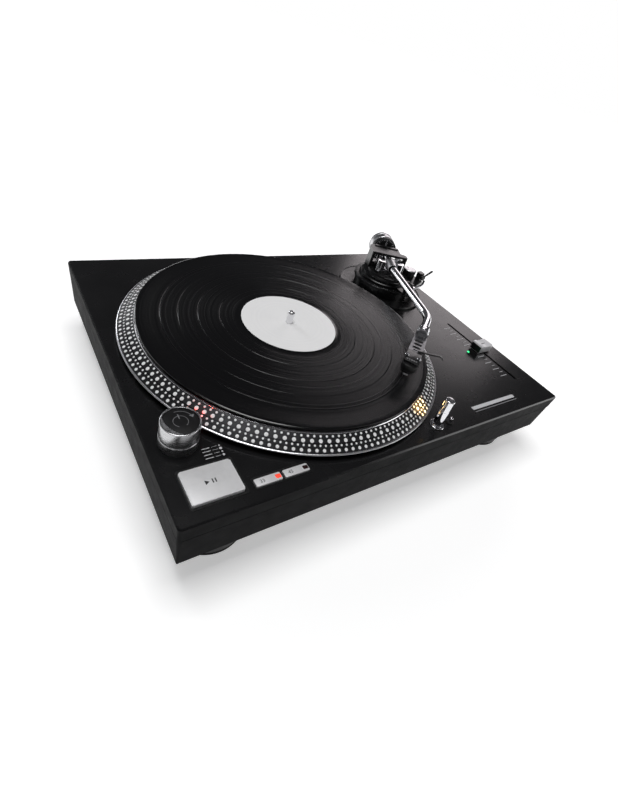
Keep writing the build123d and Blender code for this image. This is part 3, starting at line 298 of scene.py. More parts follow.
def lathe_bm(bm, prof, O, W=(0, 0, 1), U=(1, 0, 0), seg=128, closed=True):
    O, W, U = Vector(O), Vector(W).normalized(), Vector(U).normalized()
    Vv = W.cross(U).normalized()
    rows = []
    for i in range(seg):
        t = 2 * math.pi * i / seg
        d = U * math.cos(t) + Vv * math.sin(t)
        rows.append([bm.verts.new(O + (d * r + W * h) / 1000.0) for r, h in prof])
    n = len(prof)
    made = []
    for i in range(seg):
        a, b = rows[i], rows[(i + 1) % seg]
        for j in range(n if closed else n - 1):
            k = (j + 1) % n
            if prof[j][0] < 1e-6 and prof[k][0] < 1e-6:
                continue
            if prof[j][0] < 1e-6:
                q = [a[j], b[k], a[k]]
            elif prof[k][0] < 1e-6:
                q = [a[j], b[j], a[k]]
            else:
                q = [a[j], b[j], b[k], a[k]]
            made.append(bm.faces.new(q))
    return made


def lathe(name, prof, O, mat, body, node=None, W=(0, 0, 1), U=(1, 0, 0), seg=128, closed=True, sharp=32.0):
    bm = bmesh.new()
    lathe_bm(bm, prof, O, W, U, seg, closed)
    return finish_mesh(name, bm, mat, body, node, sharp)


def rounded(prof, r=0.4, n=3):
    """Softens the corners of a lathe profile with small arcs."""
    out = []
    L = len(prof)
    for i in range(L):
        p0, p1, p2 = (Vector(prof[i - 1]), Vector(prof[i]), Vector(prof[(i + 1) % L]))
        if p1.x < 1e-6:
            out.append(tuple(p1)); continue
        a, b = (p0 - p1), (p2 - p1)
        if a.length < 1e-6 or b.length < 1e-6:
            out.append(tuple(p1)); continue
        d = min(r, a.length * 0.45, b.length * 0.45)
        q0, q1 = p1 + a.normalized() * d, p1 + b.normalized() * d
        for k in range(n + 1):
            t = k / n
            w = q0 * (1 - t) ** 2 + p1 * 2 * t * (1 - t) + q1 * t * t
            out.append((w.x, w.y))
    return out


def prism_bm(bm, pts, h0, h1, O=(0, 0, 0), X=(1, 0, 0), Y=(0, 1, 0), Z=(0, 0, 1), bevel=0.0, seg=3, top_only=False):
    O, X, Y, Z = Vector(O), Vector(X), Vector(Y), Vector(Z)
    lo = [bm.verts.new(O + (X * p[0] + Y * p[1] + Z * h0) / 1000.0) for p in pts]
    hi = [bm.verts.new(O + (X * p[0] + Y * p[1] + Z * h1) / 1000.0) for p in pts]
    fs = [bm.faces.new(list(reversed(lo))), bm.faces.new(hi)]
    n = len(pts)
    for i in range(n):
        fs.append(bm.faces.new([lo[i], lo[(i + 1) % n], hi[(i + 1) % n], hi[i]]))
    if bevel > 0:
        es = set(fs[1].edges)
        if not top_only:
            es |= set(fs[0].edges)
        bmesh.ops.bevel(bm, geom=list(es), offset=bevel / 1000.0, segments=seg, profile=0.5, affect="EDGES", clamp_overlap=True)
    return fs


def rrect(cx, cy, w, d, r, n=5):
    pts = []
    for sx, sy, a0 in ((1, 1, 0), (-1, 1, 90), (-1, -1, 180), (1, -1, 270)):
        for k in range(n + 1):
            a = math.radians(a0 + 90 * k / n)
            pts.append((cx + sx * (w / 2 - r) + r * math.cos(a), cy + sy * (d / 2 - r) + r * math.sin(a)))
    return pts


def prism(name, pts, h0, h1, mat, body, node=None, O=None, X=(1, 0, 0), Y=(0, 1, 0), Z=(0, 0, 1), bevel=0.0, seg=3, top_only=False, sharp=32):
    bm = bmesh.new()
    prism_bm(bm, pts, h0, h1, O if O is not None else P3(0, 0, 0), X, Y, Z, bevel, seg, top_only)
    return finish_mesh(name, bm, mat, body, node, sharp)


def sweep_bm(bm, path, radius, seg=24, cap=True):
    """Round section along a list of points in metres; radius in mm (or a list)."""
    n = len(path)
    T = []
    for i in range(n):
        a, b = path[max(0, i - 1)], path[min(n - 1, i + 1)]
        T.append((b - a).normalized())
    up = Vector((0, 0, 1))
    U = (up - T[0] * up.dot(T[0])).normalized()
    rings = []
    for i in range(n):
        U = (U - T[i] * U.dot(T[i])).normalized()
        V = T[i].cross(U)
        r = (radius[i] if isinstance(radius, (list, tuple)) else radius) / 1000.0
        rings.append([bm.verts.new(path[i] + (U * math.cos(2 * math.pi * k / seg) + V * math.sin(2 * math.pi * k / seg)) * r) for k in range(seg)])
    for i in range(n - 1):
        for k in range(seg):
            bm.faces.new([rings[i][k], rings[i][(k + 1) % seg], rings[i + 1][(k + 1) % seg], rings[i + 1][k]])
    if cap:
        bm.faces.new(list(reversed(rings[0])))
        bm.faces.new(rings[-1])


def arc_path(pts, radius, n=14):
    """Straight runs joined by tangent arcs (mm points at one height)."""
    out = [Vector(pts[0])]
    for i in range(1, len(pts) - 1):
        p0, p1, p2 = Vector(pts[i - 1]), Vector(pts[i]), Vector(pts[i + 1])
        a, b = (p0 - p1).normalized(), (p2 - p1).normalized()
        ang = a.angle(b)
        d = radius / math.tan(ang / 2)
        c = p1 + (a + b).normalized() * (radius / math.sin(ang / 2))
        q0, q1 = p1 + a * d, p1 + b * d
        v0, v1 = q0 - c, q1 - c
        tot = v0.angle(v1)
        for k in range(n + 1):
            t = k / n
            w = (v0 * math.sin((1 - t) * tot) + v1 * math.sin(t * tot)) / math.sin(tot)
            out.append(c + w)
    out.append(Vector(pts[-1]))
    return [P3(p.x, p.y, p.z) for p in out]


# ==================================================================== platter
S0 = P3(SX, SY, 0)
lathe("platter_body", rounded([(11.02, 9.1), (11.02, 14.4), (148.5, 14.4), (149.0, 14.75), (151.0, 13.85), (164.3, 5.95), (165.6, 4.3), (165.0, 4.15), (160.0, 4.2), (157.5, 7.5), (147.0, 11.4), (46.0, 11.4), (46.0, 9.1)], 0.25, 2),
      S0, "platter", "platter", "platter", seg=256)
lathe("platter_upper_ring", rounded([(148.9, 14.2), (148.9, 14.8), (149.6, 14.9), (150.35, 14.9), (151.05, 13.95), (150.6, 13.7)], 0.3, 3), S0, "rim", "platter", seg=256, sharp=60)
lathe("platter_lower_ring", rounded([(164.2, 5.8), (165.2, 5.8), (166.0, 5.4), (166.2, 4.9), (165.95, 4.3), (165.3, 4.12), (164.6, 4.6)], 0.3, 3), S0, "rim", "platter", seg=256, sharp=60)

# four rows of raised strobe dots on the sloping band
bm = bmesh.new()
slope = math.atan2(9.4, 16.0)
for cnt, s, rad, ph in ((180, 0.161, 1.05, 0.2), (133, 0.367, 1.75, 0.5), (216, 0.568, 0.95, 0.1), (160, 0.774, 1.5, 0.7)):
    r = 150 + 16 * s
    h = 13.85 + (r - 151.0) * (5.95 - 13.85) / (164.3 - 151.0)
    nseg = 12
    for i in range(cnt):
        t = 2 * math.pi * (i + ph) / cnt
        er = Vector((math.cos(t), math.sin(t), 0))
        et = Vector((-math.sin(t), math.cos(t), 0))
        dn = (er * math.cos(slope) + Vector((0, 0, -1)) * math.sin(slope))
        nrm = (er * math.sin(slope) + Vector((0, 0, 1)) * math.cos(slope))
        c = P3(SX, SY, h) + er * (r / 1000.0)
        rings = []
        for rr, hh in ((1.0, -0.05), (0.93, 0.22), (0.6, 0.36)):
            rings.append([bm.verts.new(c + (et * math.cos(2 * math.pi * k / nseg) + dn * math.sin(2 * math.pi * k / nseg)) * (rad * rr / 1000) + nrm * (hh * 0.7 / 1000)) for k in range(nseg)])
        for a, b in zip(rings, rings[1:]):
            for k in range(nseg):
                bm.faces.new([a[k], a[(k + 1) % nseg], b[(k + 1) % nseg], b[k]])
        bm.faces.new(rings[-1])
        bm.faces.new(list(reversed(rings[0])))
finish_mesh("strobe_dots", bm, "dot", "platter", sharp=50)

lathe("spindle_pin", rounded([(0, -26.5), (2.6, -26.5), (3.6, -25.5), (3.6, 7), (11.0, 7), (11.0, 14.4), (3.6, 14.4), (3.6, 30.6), (3.3, 31.5), (2.4, 32.4), (1.2, 32.9), (0, 33.0)], 0.2, 2), S0, "chrome", "platter", "spindle", seg=64)
lathe("slipmat_felt", rounded([(3.75, 14.5), (148.2, 14.5), (148.2, 17.3), (3.75, 17.3)], 0.5, 3), S0, "felt", "record", "slipmat", seg=200)
rec = [(3.65, 17.4), (50.0, 17.4), (51.0, 17.75), (146.0, 17.75), (147.5, 17.5), (149.8, 17.5), (150.55, 17.8), (150.8, 18.35), (150.55, 18.9), (149.8, 19.2), (148.3, 19.2), (146.6, 18.95)]
for g0 in (128.4, 111.9, 93.0, 71.4):
    rec += [(g0 + 0.5, 18.95), (g0 + 0.3, 18.84), (g0 - 0.3, 18.84), (g0 - 0.5, 18.95)]
rec += [(54.0, 18.95), (53.0, 18.86), (51.6, 18.95), (50.2, 19.3), (3.65, 19.3)]
lathe("record_disc", rec, S0, "vinyl", "record", "record", seg=256, sharp=20)
lathe("label_disc", rounded([(3.7, 19.3), (50.0, 19.3), (50.0, 19.5), (49.8, 19.55), (3.7, 19.55)], 0.08, 2), S0, "paper", "record", "record_label", seg=160)

# ================================================================== the feet
for nm, x, y in (("front_left", -177.7, -126.5), ("front_right", 177.7, -126.5), ("rear_left", -177.7, 124.0), ("rear_right", 177.7, 124.0)):
    o = Vector((x / 1000, y / 1000, 0))
    lathe("foot_cup_" + nm, rounded([(22, 3.2), (34.0, 3.2), (34.0, 7.2), (35.5, 8.6), (35.5, 30.0), (34.0, 31.6), (30.0, 32.9), (5.0, 32.9), (5.0, 39), (4.2, 40), (0, 40), (0, 3.2)], 0.6, 3), o, "black", "foot_" + nm, "foot_" + nm, seg=96)
    lathe("foot_tread_" + nm, rounded([(23.5, 0), (33.0, 0), (34.2, 1.2), (34.2, 3.1), (22.0, 3.1), (22.0, 1.5)], 0.4, 3), o, "rubber", "foot_" + nm, seg=96)
    bm = bmesh.new()
    for i in range(60):
        t = 2 * math.pi * i / 60
        d = Vector((math.cos(t), math.sin(t), 0)); e = Vector((-math.sin(t), math.cos(t), 0))
        prism_bm(bm, [(-0.45, -0.4), (0.45, -0.4), (0.45, 0.0), (-0.45, 0.0)], 11, 27.5, o + d * 0.0355, e, d, Vector((0, 0, 1)))
    finish_mesh("foot_grip_" + nm, bm, "black", "foot_" + nm)

# ============================================================ knob and strobe
K0 = P3(KX, KY, 0)
lathe("power_knob_shell", rounded([(0, -14), (3.0, -14), (3.0, 9.0), (14.7, 9.0), (15.0, 9.4), (15.0, 22.0), (14.6, 22.5), (13.7, 22.5), (13.6, 22.3), (13.6, 20.9), (0, 20.9)], 0.3, 3), K0, "knob_side", "power_knob", "power_knob", seg=128)
lathe("power_knob_cap", rounded([(0, 20.9), (13.5, 20.9), (13.5, 21.7), (0, 21.75)], 0.15, 2), K0, "black", "power_knob", "knob_cap", seg=96)
bm = bmesh.new()
for i in range(72):
    t = 2 * math.pi * i / 72
    d = Vector((math.cos(t), math.sin(t), 0)); e = Vector((-math.sin(t), math.cos(t), 0))
    prism_bm(bm, [(-0.28, -0.3), (0.28, -0.3), (0.28, -0.02), (-0.28, -0.02)], 9.3, 10.6, K0 + d * 0.015, e, d, Vector((0, 0, 1)))
finish_mesh("power_knob_foot_ring", bm, "matte", "power_knob")


def arc_band(bm, cx, cy, h, r0, r1, a0, a1, th=0.12, n=24, O=None):
    pts = [(cx + r1 * math.cos(math.radians(a0 + (a1 - a0) * k / n)), cy + r1 * math.sin(math.radians(a0 + (a1 - a0) * k / n))) for k in range(n + 1)]
    pts += [(cx + r0 * math.cos(math.radians(a1 - (a1 - a0) * k / n)), cy + r0 * math.sin(math.radians(a1 - (a1 - a0) * k / n))) for k in range(n + 1)]
    prism_bm(bm, pts, h, h + th, P3(0, 0, 0))


bm = bmesh.new()
arc_band(bm, KX, KY, 21.7, 9.9, 10.3, 20, 100)
prism_bm(bm, [(KX + 10.05 * math.cos(math.radians(20)) - 1.9, KY + 10.05 * math.sin(math.radians(20)) + 0.6), (KX + 10.05 * math.cos(math.radians(20)) + 0.3, KY + 10.05 * math.sin(math.radians(20)) - 1.9), (KX + 10.05 * math.cos(math.radians(20)) + 2.2, KY + 10.05 * math.sin(math.radians(20)) + 0.9)], 21.7, 21.82, P3(0, 0, 0))
arc_band(bm, KX, KY, 21.7, 5.3, 5.65, -60, 240)
prism_bm(bm, [(KX - 0.35, KY + 2.6), (KX + 0.35, KY + 2.6), (KX + 0.35, KY + 7.2), (KX - 0.35, KY + 7.2)], 21.7, 21.82, P3(0, 0, 0))
finish_mesh("power_knob_marks", bm, "grey_ink", "power_knob")
prism("power_knob_step", [(KX + 13.5 * math.cos(math.radians(a)), KY + 13.5 * math.sin(math.radians(a))) for a in range(150, 262, 4)] +
      [(KX + (13.5 - 2.6 * math.sin(math.pi * (a - 150) / 110.0) - 0.15) * math.cos(math.radians(a)), KY + (13.5 - 2.6 * math.sin(math.pi * (a - 150) / 110.0) - 0.15) * math.sin(math.radians(a))) for a in range(258, 146, -4)],
      21.5, 22.45, "alloy", "power_knob", O=P3(0, 0, 0))

lathe("strobe_base", rounded([(3.05, -14), (5.0, -14), (5.0, 0), (15.2, 0), (15.2, 8.2), (14.8, 8.7), (3.05, 8.7)], 0.3, 3), K0, "knob_side", "base", "strobe_housing", seg=128)

# ================================================================== buttons
prism("start_stop_key", rrect(-192.0, -149.5, 39.2, 28.8, 1.3), -5.0, 3.0, "silver", "start_stop_button", "start_stop_button", bevel=0.9, seg=4, top_only=True)
bm = bmesh.new()
prism_bm(bm, [(-196.9, -151.4), (-196.9, -147.6), (-193.7, -149.5)], 2.99, 3.06, P3(0, 0, 0))
prism_bm(bm, [(-191.7, -151.3), (-190.8, -151.3), (-190.8, -147.7), (-191.7, -147.7)], 2.99, 3.06, P3(0, 0, 0))
prism_bm(bm, [(-189.5, -151.3), (-188.6, -151.3), (-188.6, -147.7), (-189.5, -147.7)], 2.99, 3.06, P3(0, 0, 0))
finish_mesh("start_stop_mark", bm, "tick_ink", "start_stop_button")
prism("speed_key_33", rrect(-152.7, -161.3, 21.7, 6.7, 0.7), -4.0, 1.5, "silver", "speed_button_33", "speed_button_33", bevel=0.45, seg=3, top_only=True)
prism("speed_key_45", rrect(-128.5, -161.3, 21.7, 6.7, 0.7), -4.0, 1.5, "silver", "speed_button_45", "speed_button_45", bevel=0.45, seg=3, top_only=True)
prism("speed_window_33", rrect(-144.4, -161.3, 4.4, 3.4, 0.4), 1.3, 1.62, "redled", "speed_button_33", bevel=0.1, seg=2)
prism("speed_window_45", rrect(-120.2, -161.3, 4.4, 3.4, 0.4), 1.3, 1.62, "darkwin", "speed_button_45", bevel=0.1, seg=2)



def digits(name, txt, size, c, ex, ey, ez, mat, body):
    """Raised plain digits; ex is the reading direction, ey up, ez out of the face."""
    cu = bpy.data.curves.new(name, "FONT")
    cu.body = txt
    cu.size = size
    cu.extrude = 0.00005
    cu.align_x = "CENTER"
    cu.align_y = "CENTER"
    tmp = bpy.data.objects.new(name + "_tmp", cu)
    bpy.context.collection.objects.link(tmp)
    bpy.context.view_layer.update()
    me = bpy.data.meshes.new_from_object(tmp.evaluated_get(bpy.context.evaluated_depsgraph_get()))
    bpy.data.objects.remove(tmp)
    me.transform(Matrix(((ex[0], ey[0], ez[0], c[0]), (ex[1], ey[1], ez[1], c[1]), (ex[2], ey[2], ez[2], c[2]), (0, 0, 0, 1))))
    me.materials.clear()
    me.materials.append(M[mat])
    ob = bpy.data.objects.new(name, me)
    bpy.context.collection.objects.link(ob)
    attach(ob, body)
    return ob


digits("speed_digits_33", "33", 0.0042, P3(-157.5, -161.3, 1.5), (1, 0, 0), (0, 1, 0), (0, 0, 1), "tick_ink", "speed_button_33")
digits("speed_digits_45", "45", 0.0042, P3(-133.3, -161.3, 1.5), (1, 0, 0), (0, 1, 0), (0, 0, 1), "tick_ink", "speed_button_45")

# legend beside the strobe: four dots, each with two bars beside it
bm = bmesh.new()


def disc(bm, x, y, r, h=0.02, th=0.1, n=20):
    prism_bm(bm, [(x + r * math.cos(2 * math.pi * k / n), y + r * math.sin(2 * math.pi * k / n)) for k in range(n)], h, h + th, P3(0, 0, 0))


def bar(bm, x0, y0, x1, y1, h=0.02, th=0.1):
    prism_bm(bm, [(x0, y0), (x1, y0), (x1, y1), (x0, y1)], h, h + th, P3(0, 0, 0))


for yy, rr in ((-118.8, 0.65), (-121.8, 1.15), (-125.0, 0.65), (-128.2, 1.0)):
    disc(bm, -173.2, yy, rr)
    bar(bm, -187.6, yy - 0.3, -181.2, yy + 0.3)
    bar(bm, -179.6, yy - 0.12, -175.4, yy + 0.12)
finish_mesh("strobe_legend", bm, "white_ink", "base")

# ============================================================== pitch control
bm = bmesh.new()
for k in range(9):
    y = FY + (k - 4) * 12.05
    if k != 4:
        bar(bm, 178.6, y - 0.35, 190.0, y + 0.35)
for k in range(8):
    y = FY + (k - 3.5) * 12.05
    bar(bm, 183.9, y - 0.25, 189.5, y + 0.25)
finish_mesh("pitch_scale", bm, "white_ink", "base")
fp = [(FX - 11.6, 1.0), (FX + 11.6, 1.0), (FX + 11.3, 9.4), (FX + 10.4, 10.7), (FX + 9.0, 11.0), (FX + 6.2, 10.4), (FX + 3.0, 9.5), (FX, 9.2), (FX - 3.0, 9.5), (FX - 6.2, 10.4), (FX - 9.0, 11.0), (FX - 10.4, 10.7), (FX - 11.3, 9.4)]
bm = bmesh.new()
prism_bm(bm, fp, -7.2, 7.2, P3(0, FY, 0), (1, 0, 0), (0, 0, 1), (0, -1, 0), bevel=0.5, seg=3)
prism_bm(bm, [(FX - 1.3, -4), (FX + 1.3, -4), (FX + 1.3, 4), (FX - 1.3, 4)], -6, 1.2, P3(0, FY, 0))
finish_mesh("fader_cap_shell", bm, "silver", "fader_cap", "fader_cap")
prism("fader_cap_line", [(FX - 8.8, -0.35), (FX + 8.8, -0.35), (FX + 8.8, 0.35), (FX - 8.8, 0.35)], 9.3, 9.62, "tick_ink", "fader_cap", O=P3(0, FY, 0))
# painted shade: a thin black sheet on the cap's left end stands in for the shade on that face; the right end gets none
prism("fader_cap_side", [(-7.0, 1.3), (7.0, 1.3), (7.0, 9.2), (-7.0, 9.2)], -0.12, 0.18, "black", "fader_cap", O=P3(FX - 11.5, FY, 0), X=(0, 1, 0), Y=(0, 0, 1), Z=(-1, 0, 0))
prism("front_strip", rrect(126.6, -156.6, 72.0, 4.2, 1.0), 0.02, 0.14, "white_ink", "base")
prism("front_line", rrect(126.6, -161.4, 72.0, 1.0, 0.4), 0.02, 0.14, "grey_ink", "base")

# ============================================================== target light
TL = P3(31.0, -161.3, 0)
lathe("target_light_collar", rounded([(4.62, -40.5), (6.2, -40.5), (6.2, 0), (7.2, 0), (7.2, 0.8), (6.8, 1.2), (4.62, 1.2)], 0.15, 2), TL, "chrome", "base", "target_light_socket", seg=64)
lathe("target_button_collar", rounded([(1.76, -7.5), (4.0, -7.5), (4.0, 0.9), (3.6, 1.2), (1.76, 1.2)], 0.15, 2), P3(48.0, -163.0, 0), "black", "base", seg=48)
lathe("target_button_tip", rounded([(0, -5), (1.7, -5), (1.7, 5.2), (1.2, 5.8), (0, 6.0)], 0.3, 3), P3(48.0, -163.0, 0), "chrome", "target_light_button", "target_light_button", seg=40)
ta = math.radians(122.0)
td, te = Vector((math.cos(ta), math.sin(ta), 0)), Vector((-math.sin(ta), math.cos(ta), 0))
lathe("target_light_barrel", rounded([(0, -8), (4.5, -8), (4.5, 18.6), (4.3, 19.0), (4.3, 30.4), (4.5, 30.8), (4.5, 31.4), (4.0, 32.0), (0, 32.0)], 0.25, 3), TL, "chrome", "target_light", "target_light", seg=96)
bm = bmesh.new()
pts = [(4.53 * math.cos(math.radians(a)), 4.53 * math.sin(math.radians(a))) for a in range(-34, 35, 4)] + [(3.9 * math.cos(math.radians(a)), 3.9 * math.sin(math.radians(a))) for a in range(34, -35, -4)]
prism_bm(bm, pts, 20.0, 29.6, TL, td, te, (0, 0, 1), bevel=0.15, seg=2)
finish_mesh("target_light_window", bm, "black", "target_light")
bm = bmesh.new()
pts = [(4.56 * math.cos(math.radians(a)), 4.56 * math.sin(math.radians(a))) for a in range(-16, 17, 4)] + [(4.2 * math.cos(math.radians(a)), 4.2 * math.sin(math.radians(a))) for a in range(16, -17, -4)]
prism_bm(bm, pts, 24.0, 28.4, TL, td, te, (0, 0, 1), bevel=0.1, seg=2)
finish_mesh("target_light_lens", bm, "lamp", "target_light", "target_lamp")

# =================================================================== tonearm
V0 = P3(PX, PY, 0)
lathe("arm_base_disc", rounded([(28, 0.0), (58.5, 0.0), (58.5, 2.5), (58.1, 3.05), (57.1, 3.05), (56.3, 2.35), (40.0, 2.35), (39.4, 2.4), (28, 2.4)], 0.25, 3), V0, "black_alloy", "base", "arm_base_plate", seg=200)
lathe("arm_base_drum", rounded([(30.05, 2.4), (38.0, 2.4), (38.0, 11.4), (37.2, 12.2), (30.05, 12.2)], 0.3, 3), V0, "black_alloy", "base", "arm_base", seg=160)
hr = [(30.4, 12.5), (40.5, 12.5), (41.0, 13.0)]
hr += [(41.0, 16.9), (40.5, 17.5), (30.4, 17.5)]
lathe("height_ring_body", rounded(hr, 0.35, 3), V0, "black_alloy", "height_ring", "height_ring", seg=160)
bm = bmesh.new()
for i in range(120):
    t = 2 * math.pi * i / 120
    d = Vector((math.cos(t), math.sin(t), 0)); e = Vector((-math.sin(t), math.cos(t), 0))
    prism_bm(bm, [(-0.5, -0.4), (0.5, -0.4), (0.35, -0.02), (-0.35, -0.02)], 13.5, 16.4, V0 + d * 0.041, e, d, Vector((0, 0, 1)))
finish_mesh("height_ring_knurl", bm, "black_alloy", "height_ring")
bm = bmesh.new()
for i in range(31):
    a = -150 + i * 4
    r0 = 38.3 if i % 5 else 37.2
    c0, s0 = math.cos(math.radians(a)), math.sin(math.radians(a))
    e = Vector((-s0, c0, 0)); d = Vector((c0, s0, 0))
    prism_bm(bm, [(-0.14, r0), (0.14, r0), (0.14, 39.7), (-0.14, 39.7)], 17.5, 17.56, V0, e, d, Vector((0, 0, 1)))
finish_mesh("height_ring_scale", bm, "white_ink", "height_ring")

AR, AP = Vector((SA, CA, 0)), Vector((CA, -SA, 0))          # rearwards, to the right
A0 = Vector((PX / 1000, PY / 1000, (ARM_H + ZP) / 1000))
bm = bmesh.new()
pts = [(x, y) for x, y in rrect(0, 0, 12, 10, 1.5)]
prism_bm(bm, pts, -4.3, 4.3, A0, AP, AR, (0, 0, 1), bevel=0.6, seg=3)
lathe_bm(bm, [(0, -17.6), (1.5, -17.6), (1.5, 17.6), (0, 17.6)], A0, AP, AR, 32)
finish_mesh("arm_pivot_block", bm, "alloy", "arm", "arm_bearing_block")
lathe("arm_collar", rounded([(0, 5.0), (7.0, 5.0), (7.2, 6.4), (6.9, 12.0), (6.3, 19.5), (6.15, 22.0), (5.2, 22.0), (5.2, 18.0), (0, 18.0)], 0.35, 3), A0, "alloy", "arm", W=-AR, U=AP, seg=96)
lathe("arm_collar_ring", rounded([(4.5, 18.2), (5.15, 18.2), (5.15, 22.6), (4.5, 22.6)], 0.15, 2), A0, "black", "arm", W=-AR, U=AP, seg=64)
th = [(0, 5.0), (3.3, 5.0)]
h = 30.0
th += [(3.3, 29.0)]
while h < 63.0:
    th += [(3.45, h), (3.1, h + 0.5)]
    h += 1.0
th += [(3.0, 63.6), (0, 64.0)]
lathe("arm_rear_stub", th, A0, "chrome", "arm", W=AR, U=AP, seg=48, sharp=50)
T0 = (PX - 18.4 * SA, PY - 18.4 * CA, ARM_H)
T1 = (105.5, -50.4, ARM_H)
T2 = (HOX - 7.2 * HX, HOY - 7.2 * HY, ARM_H)
bm = bmesh.new()
path = arc_path([T0, T1, T2], 42.0, 28)
# even spacing along the straight runs keeps the section round
full = [path[0].lerp(path[1], k / 10) for k in range(10)] + path[1:-2] + [path[-2].lerp(path[-1], k / 5) for k in range(6)]
sweep_bm(bm, full, 4.5, 40)
finish_mesh("arm_tube_s", bm, "chrome", "arm", "arm_tube", sharp=60)

# headshell nut and the headshell, in the frame of the headshell
HD, HR = Vector((HX, HY, 0)), Vector((-HY, HX, 0))
H0 = Vector((HOX / 1000, HOY / 1000, (ARM_H + ZP) / 1000))
HZ = P3(HOX, HOY, 0)
lathe("headshell_nut_ring", rounded([(4.57, -9.0), (6.0, -9.0), (6.7, -8.2), (6.7, -6.4), (6.2, -6.0), (6.2, -5.4), (6.7, -5.0), (6.7, 0.7), (6.0, 1.5), (4.57, 1.5)], 0.25, 3), H0, "chrome", "headshell_nut", "headshell_nut", W=HD, U=HR, seg=96)
bm = bmesh.new()
for i in range(40):
    t = 2 * math.pi * i / 40
    d = HR * math.cos(t) + Vector((0, 0, 1)) * math.sin(t)
    e = HD.cross(d)
    prism_bm(bm, [(-0.32, -0.4), (0.32, -0.4), (0.15, 0.0), (-0.15, 0.0)], -4.6, 0.2, H0 + d * 0.0067, e, d, HD)
finish_mesh("headshell_nut_knurl", bm, "chrome", "headshell_nut")
prism("shell_tip_plate", [(40.0, -7.2), (59.0, -7.8), (60.6, -7.2), (61.0, -6.4), (61.0, 7.0), (60.6, 7.8), (59.4, 8.4), (40.0, 8.0)], 35.6, 38.4, "black_alloy", "headshell", "shell_tip", O=HZ, X=HD, Y=HR, bevel=0.5, seg=3)
bm = bmesh.new()
prism_bm(bm, [(43.0, -7.0), (61.0, -7.6), (64.2, -5.6), (65.4, -3.8), (65.4, 4.0), (64.2, 6.0), (61.0, 8.0), (43.0, 7.6)], 28.4, 35.5, HZ, HD, HR, (0, 0, 1), bevel=0.7, seg=3)
prism_bm(bm, [(45.0, -5.6), (60.6, -6.2), (63.6, -4.4), (64.6, -2.8), (64.6, 3.2), (63.6, 4.8), (60.6, 6.6), (45.0, 6.2)], 25.6, 28.6, HZ, HD, HR, (0, 0, 1), bevel=0.6, seg=3)
for yy in (-3.0, 3.0):
    for zz in (-7.0, -11.0):
        lathe_bm(bm, [(0, 38.2), (0.6, 38.2), (0.6, 43.2), (0, 43.2)], H0 + Vector((0, 0, zz / 1000)) + HR * (yy / 1000), HD, HR, 16)
finish_mesh("cartridge_body", bm, "black", "headshell", "cartridge")
# lead wires from the cartridge pins back to the shell's plug
wires = ((-3.0, -7.0), (3.0, -7.0), (-3.0, -11.0), (3.0, -11.0))
for i, (yy, zz) in enumerate(wires):
    bm = bmesh.new()
    pts = []
    for k in range(17):
        t = k / 16
        x = 38.6 * (1 - t) + 6.0 * t
        yv = yy * (1 - t) + yy * 0.5 * t + 0.5 * math.sin(t * 6.0 + i)
        zv = ARM_H + zz * (1 - t) + (-4.4) * t - 2.4 * math.sin(math.pi * t)
        pts.append(HZ + HD * (x / 1000) + HR * (yv / 1000) + Vector((0, 0, zv / 1000)))
    sweep_bm(bm, pts, 0.35, 10)
    finish_mesh("lead_wire_%d" % (i + 1), bm, ("redled", "white_ink", "green", "grey_ink")[i] if i not in (0, 2) else ("copper" if i == 0 else "pcb"), "headshell")
bm = bmesh.new()
prism_bm(bm, [(57.0, -2.6), (64.0, -2.6), (64.9, -1.6), (64.9, 1.6), (64.0, 2.6), (57.0, 2.6)], 23.9, 25.7, HZ, HD, HR, (0, 0, 1), bevel=0.4, seg=3)
lathe_bm(bm, [(0, 22.4), (0.12, 22.55), (0.4, 23.4), (0.4, 24.2), (0, 24.2)], HZ + HD * 0.0625, (0, 0, 1), HR, 16)
finish_mesh("stylus_carrier", bm, "pale", "headshell", "stylus")
bm = bmesh.new()
for yy in (-6.0, 6.3):
    o = HZ + HD * 0.0525 + HR * (yy / 1000)
    lathe_bm(bm, [(0, 31.0), (1.2, 31.0), (1.2, 38.4), (2.1, 38.4), (2.1, 39.5), (1.7, 40.0), (0.9, 40.0), (0.8, 39.3), (0, 39.3)], o, (0, 0, 1), HR, 32)
finish_mesh("shell_screws", bm, "chrome", "headshell", "headshell_screws")
bm = bmesh.new()
for k in range(5):
    y0 = -5.2 + k * 2.3
    prism_bm(bm, [(57.6, y0), (58.3, y0), (58.3, y0 + 1.5), (57.6, y0 + 1.5)], 38.4, 38.5, HZ, HD, HR)
finish_mesh("shell_tip_dashes", bm, "white_ink", "headshell")
# finger lift: flat strip that curves out and droops at its tip
bm = bmesh.new()
fl = [(38.6, 3.0, 39.0), (37.2, 6.5, 39.0), (36.4, 10.5, 39.1), (34.8, 15.5, 39.1), (32.4, 20.0, 39.0), (30.2, 24.0, 38.6), (28.4, 26.6, 37.6), (27.6, 27.8, 36.0), (27.3, 28.2, 34.9)]
rows = []
for i, p in enumerate(fl):
    a, b = Vector(fl[max(0, i - 1)]), Vector(fl[min(len(fl) - 1, i + 1)])
    t = (b - a).normalized()
    side = Vector((0, 0, 1)).cross(t)
    side = Vector((0.82, 0.57, 0)) if side.length < 0.3 else side.normalized()
    nrm = t.cross(side).normalized()
    w = 1.9 - 0.5 * i / (len(fl) - 1)
    c = Vector(p)
    row = []
    for k in range(12):
        ang = 2 * math.pi * k / 12
        q = c + side * (w * math.copysign(abs(math.cos(ang)) ** 0.5, math.cos(ang))) + nrm * (0.5 * math.copysign(abs(math.sin(ang)) ** 0.6, math.sin(ang)))
        row.append(bm.verts.new(HZ + HD * (q.x / 1000) + HR * (q.y / 1000) + Vector((0, 0, q.z / 1000))))
    rows.append(row)
for a, b in zip(rows, rows[1:]):
    for k in range(12):
        bm.faces.new([a[k], a[(k + 1) % 12], b[(k + 1) % 12], b[k]])
bm.faces.new(list(reversed(rows[0])))
bm.faces.new(rows[-1])
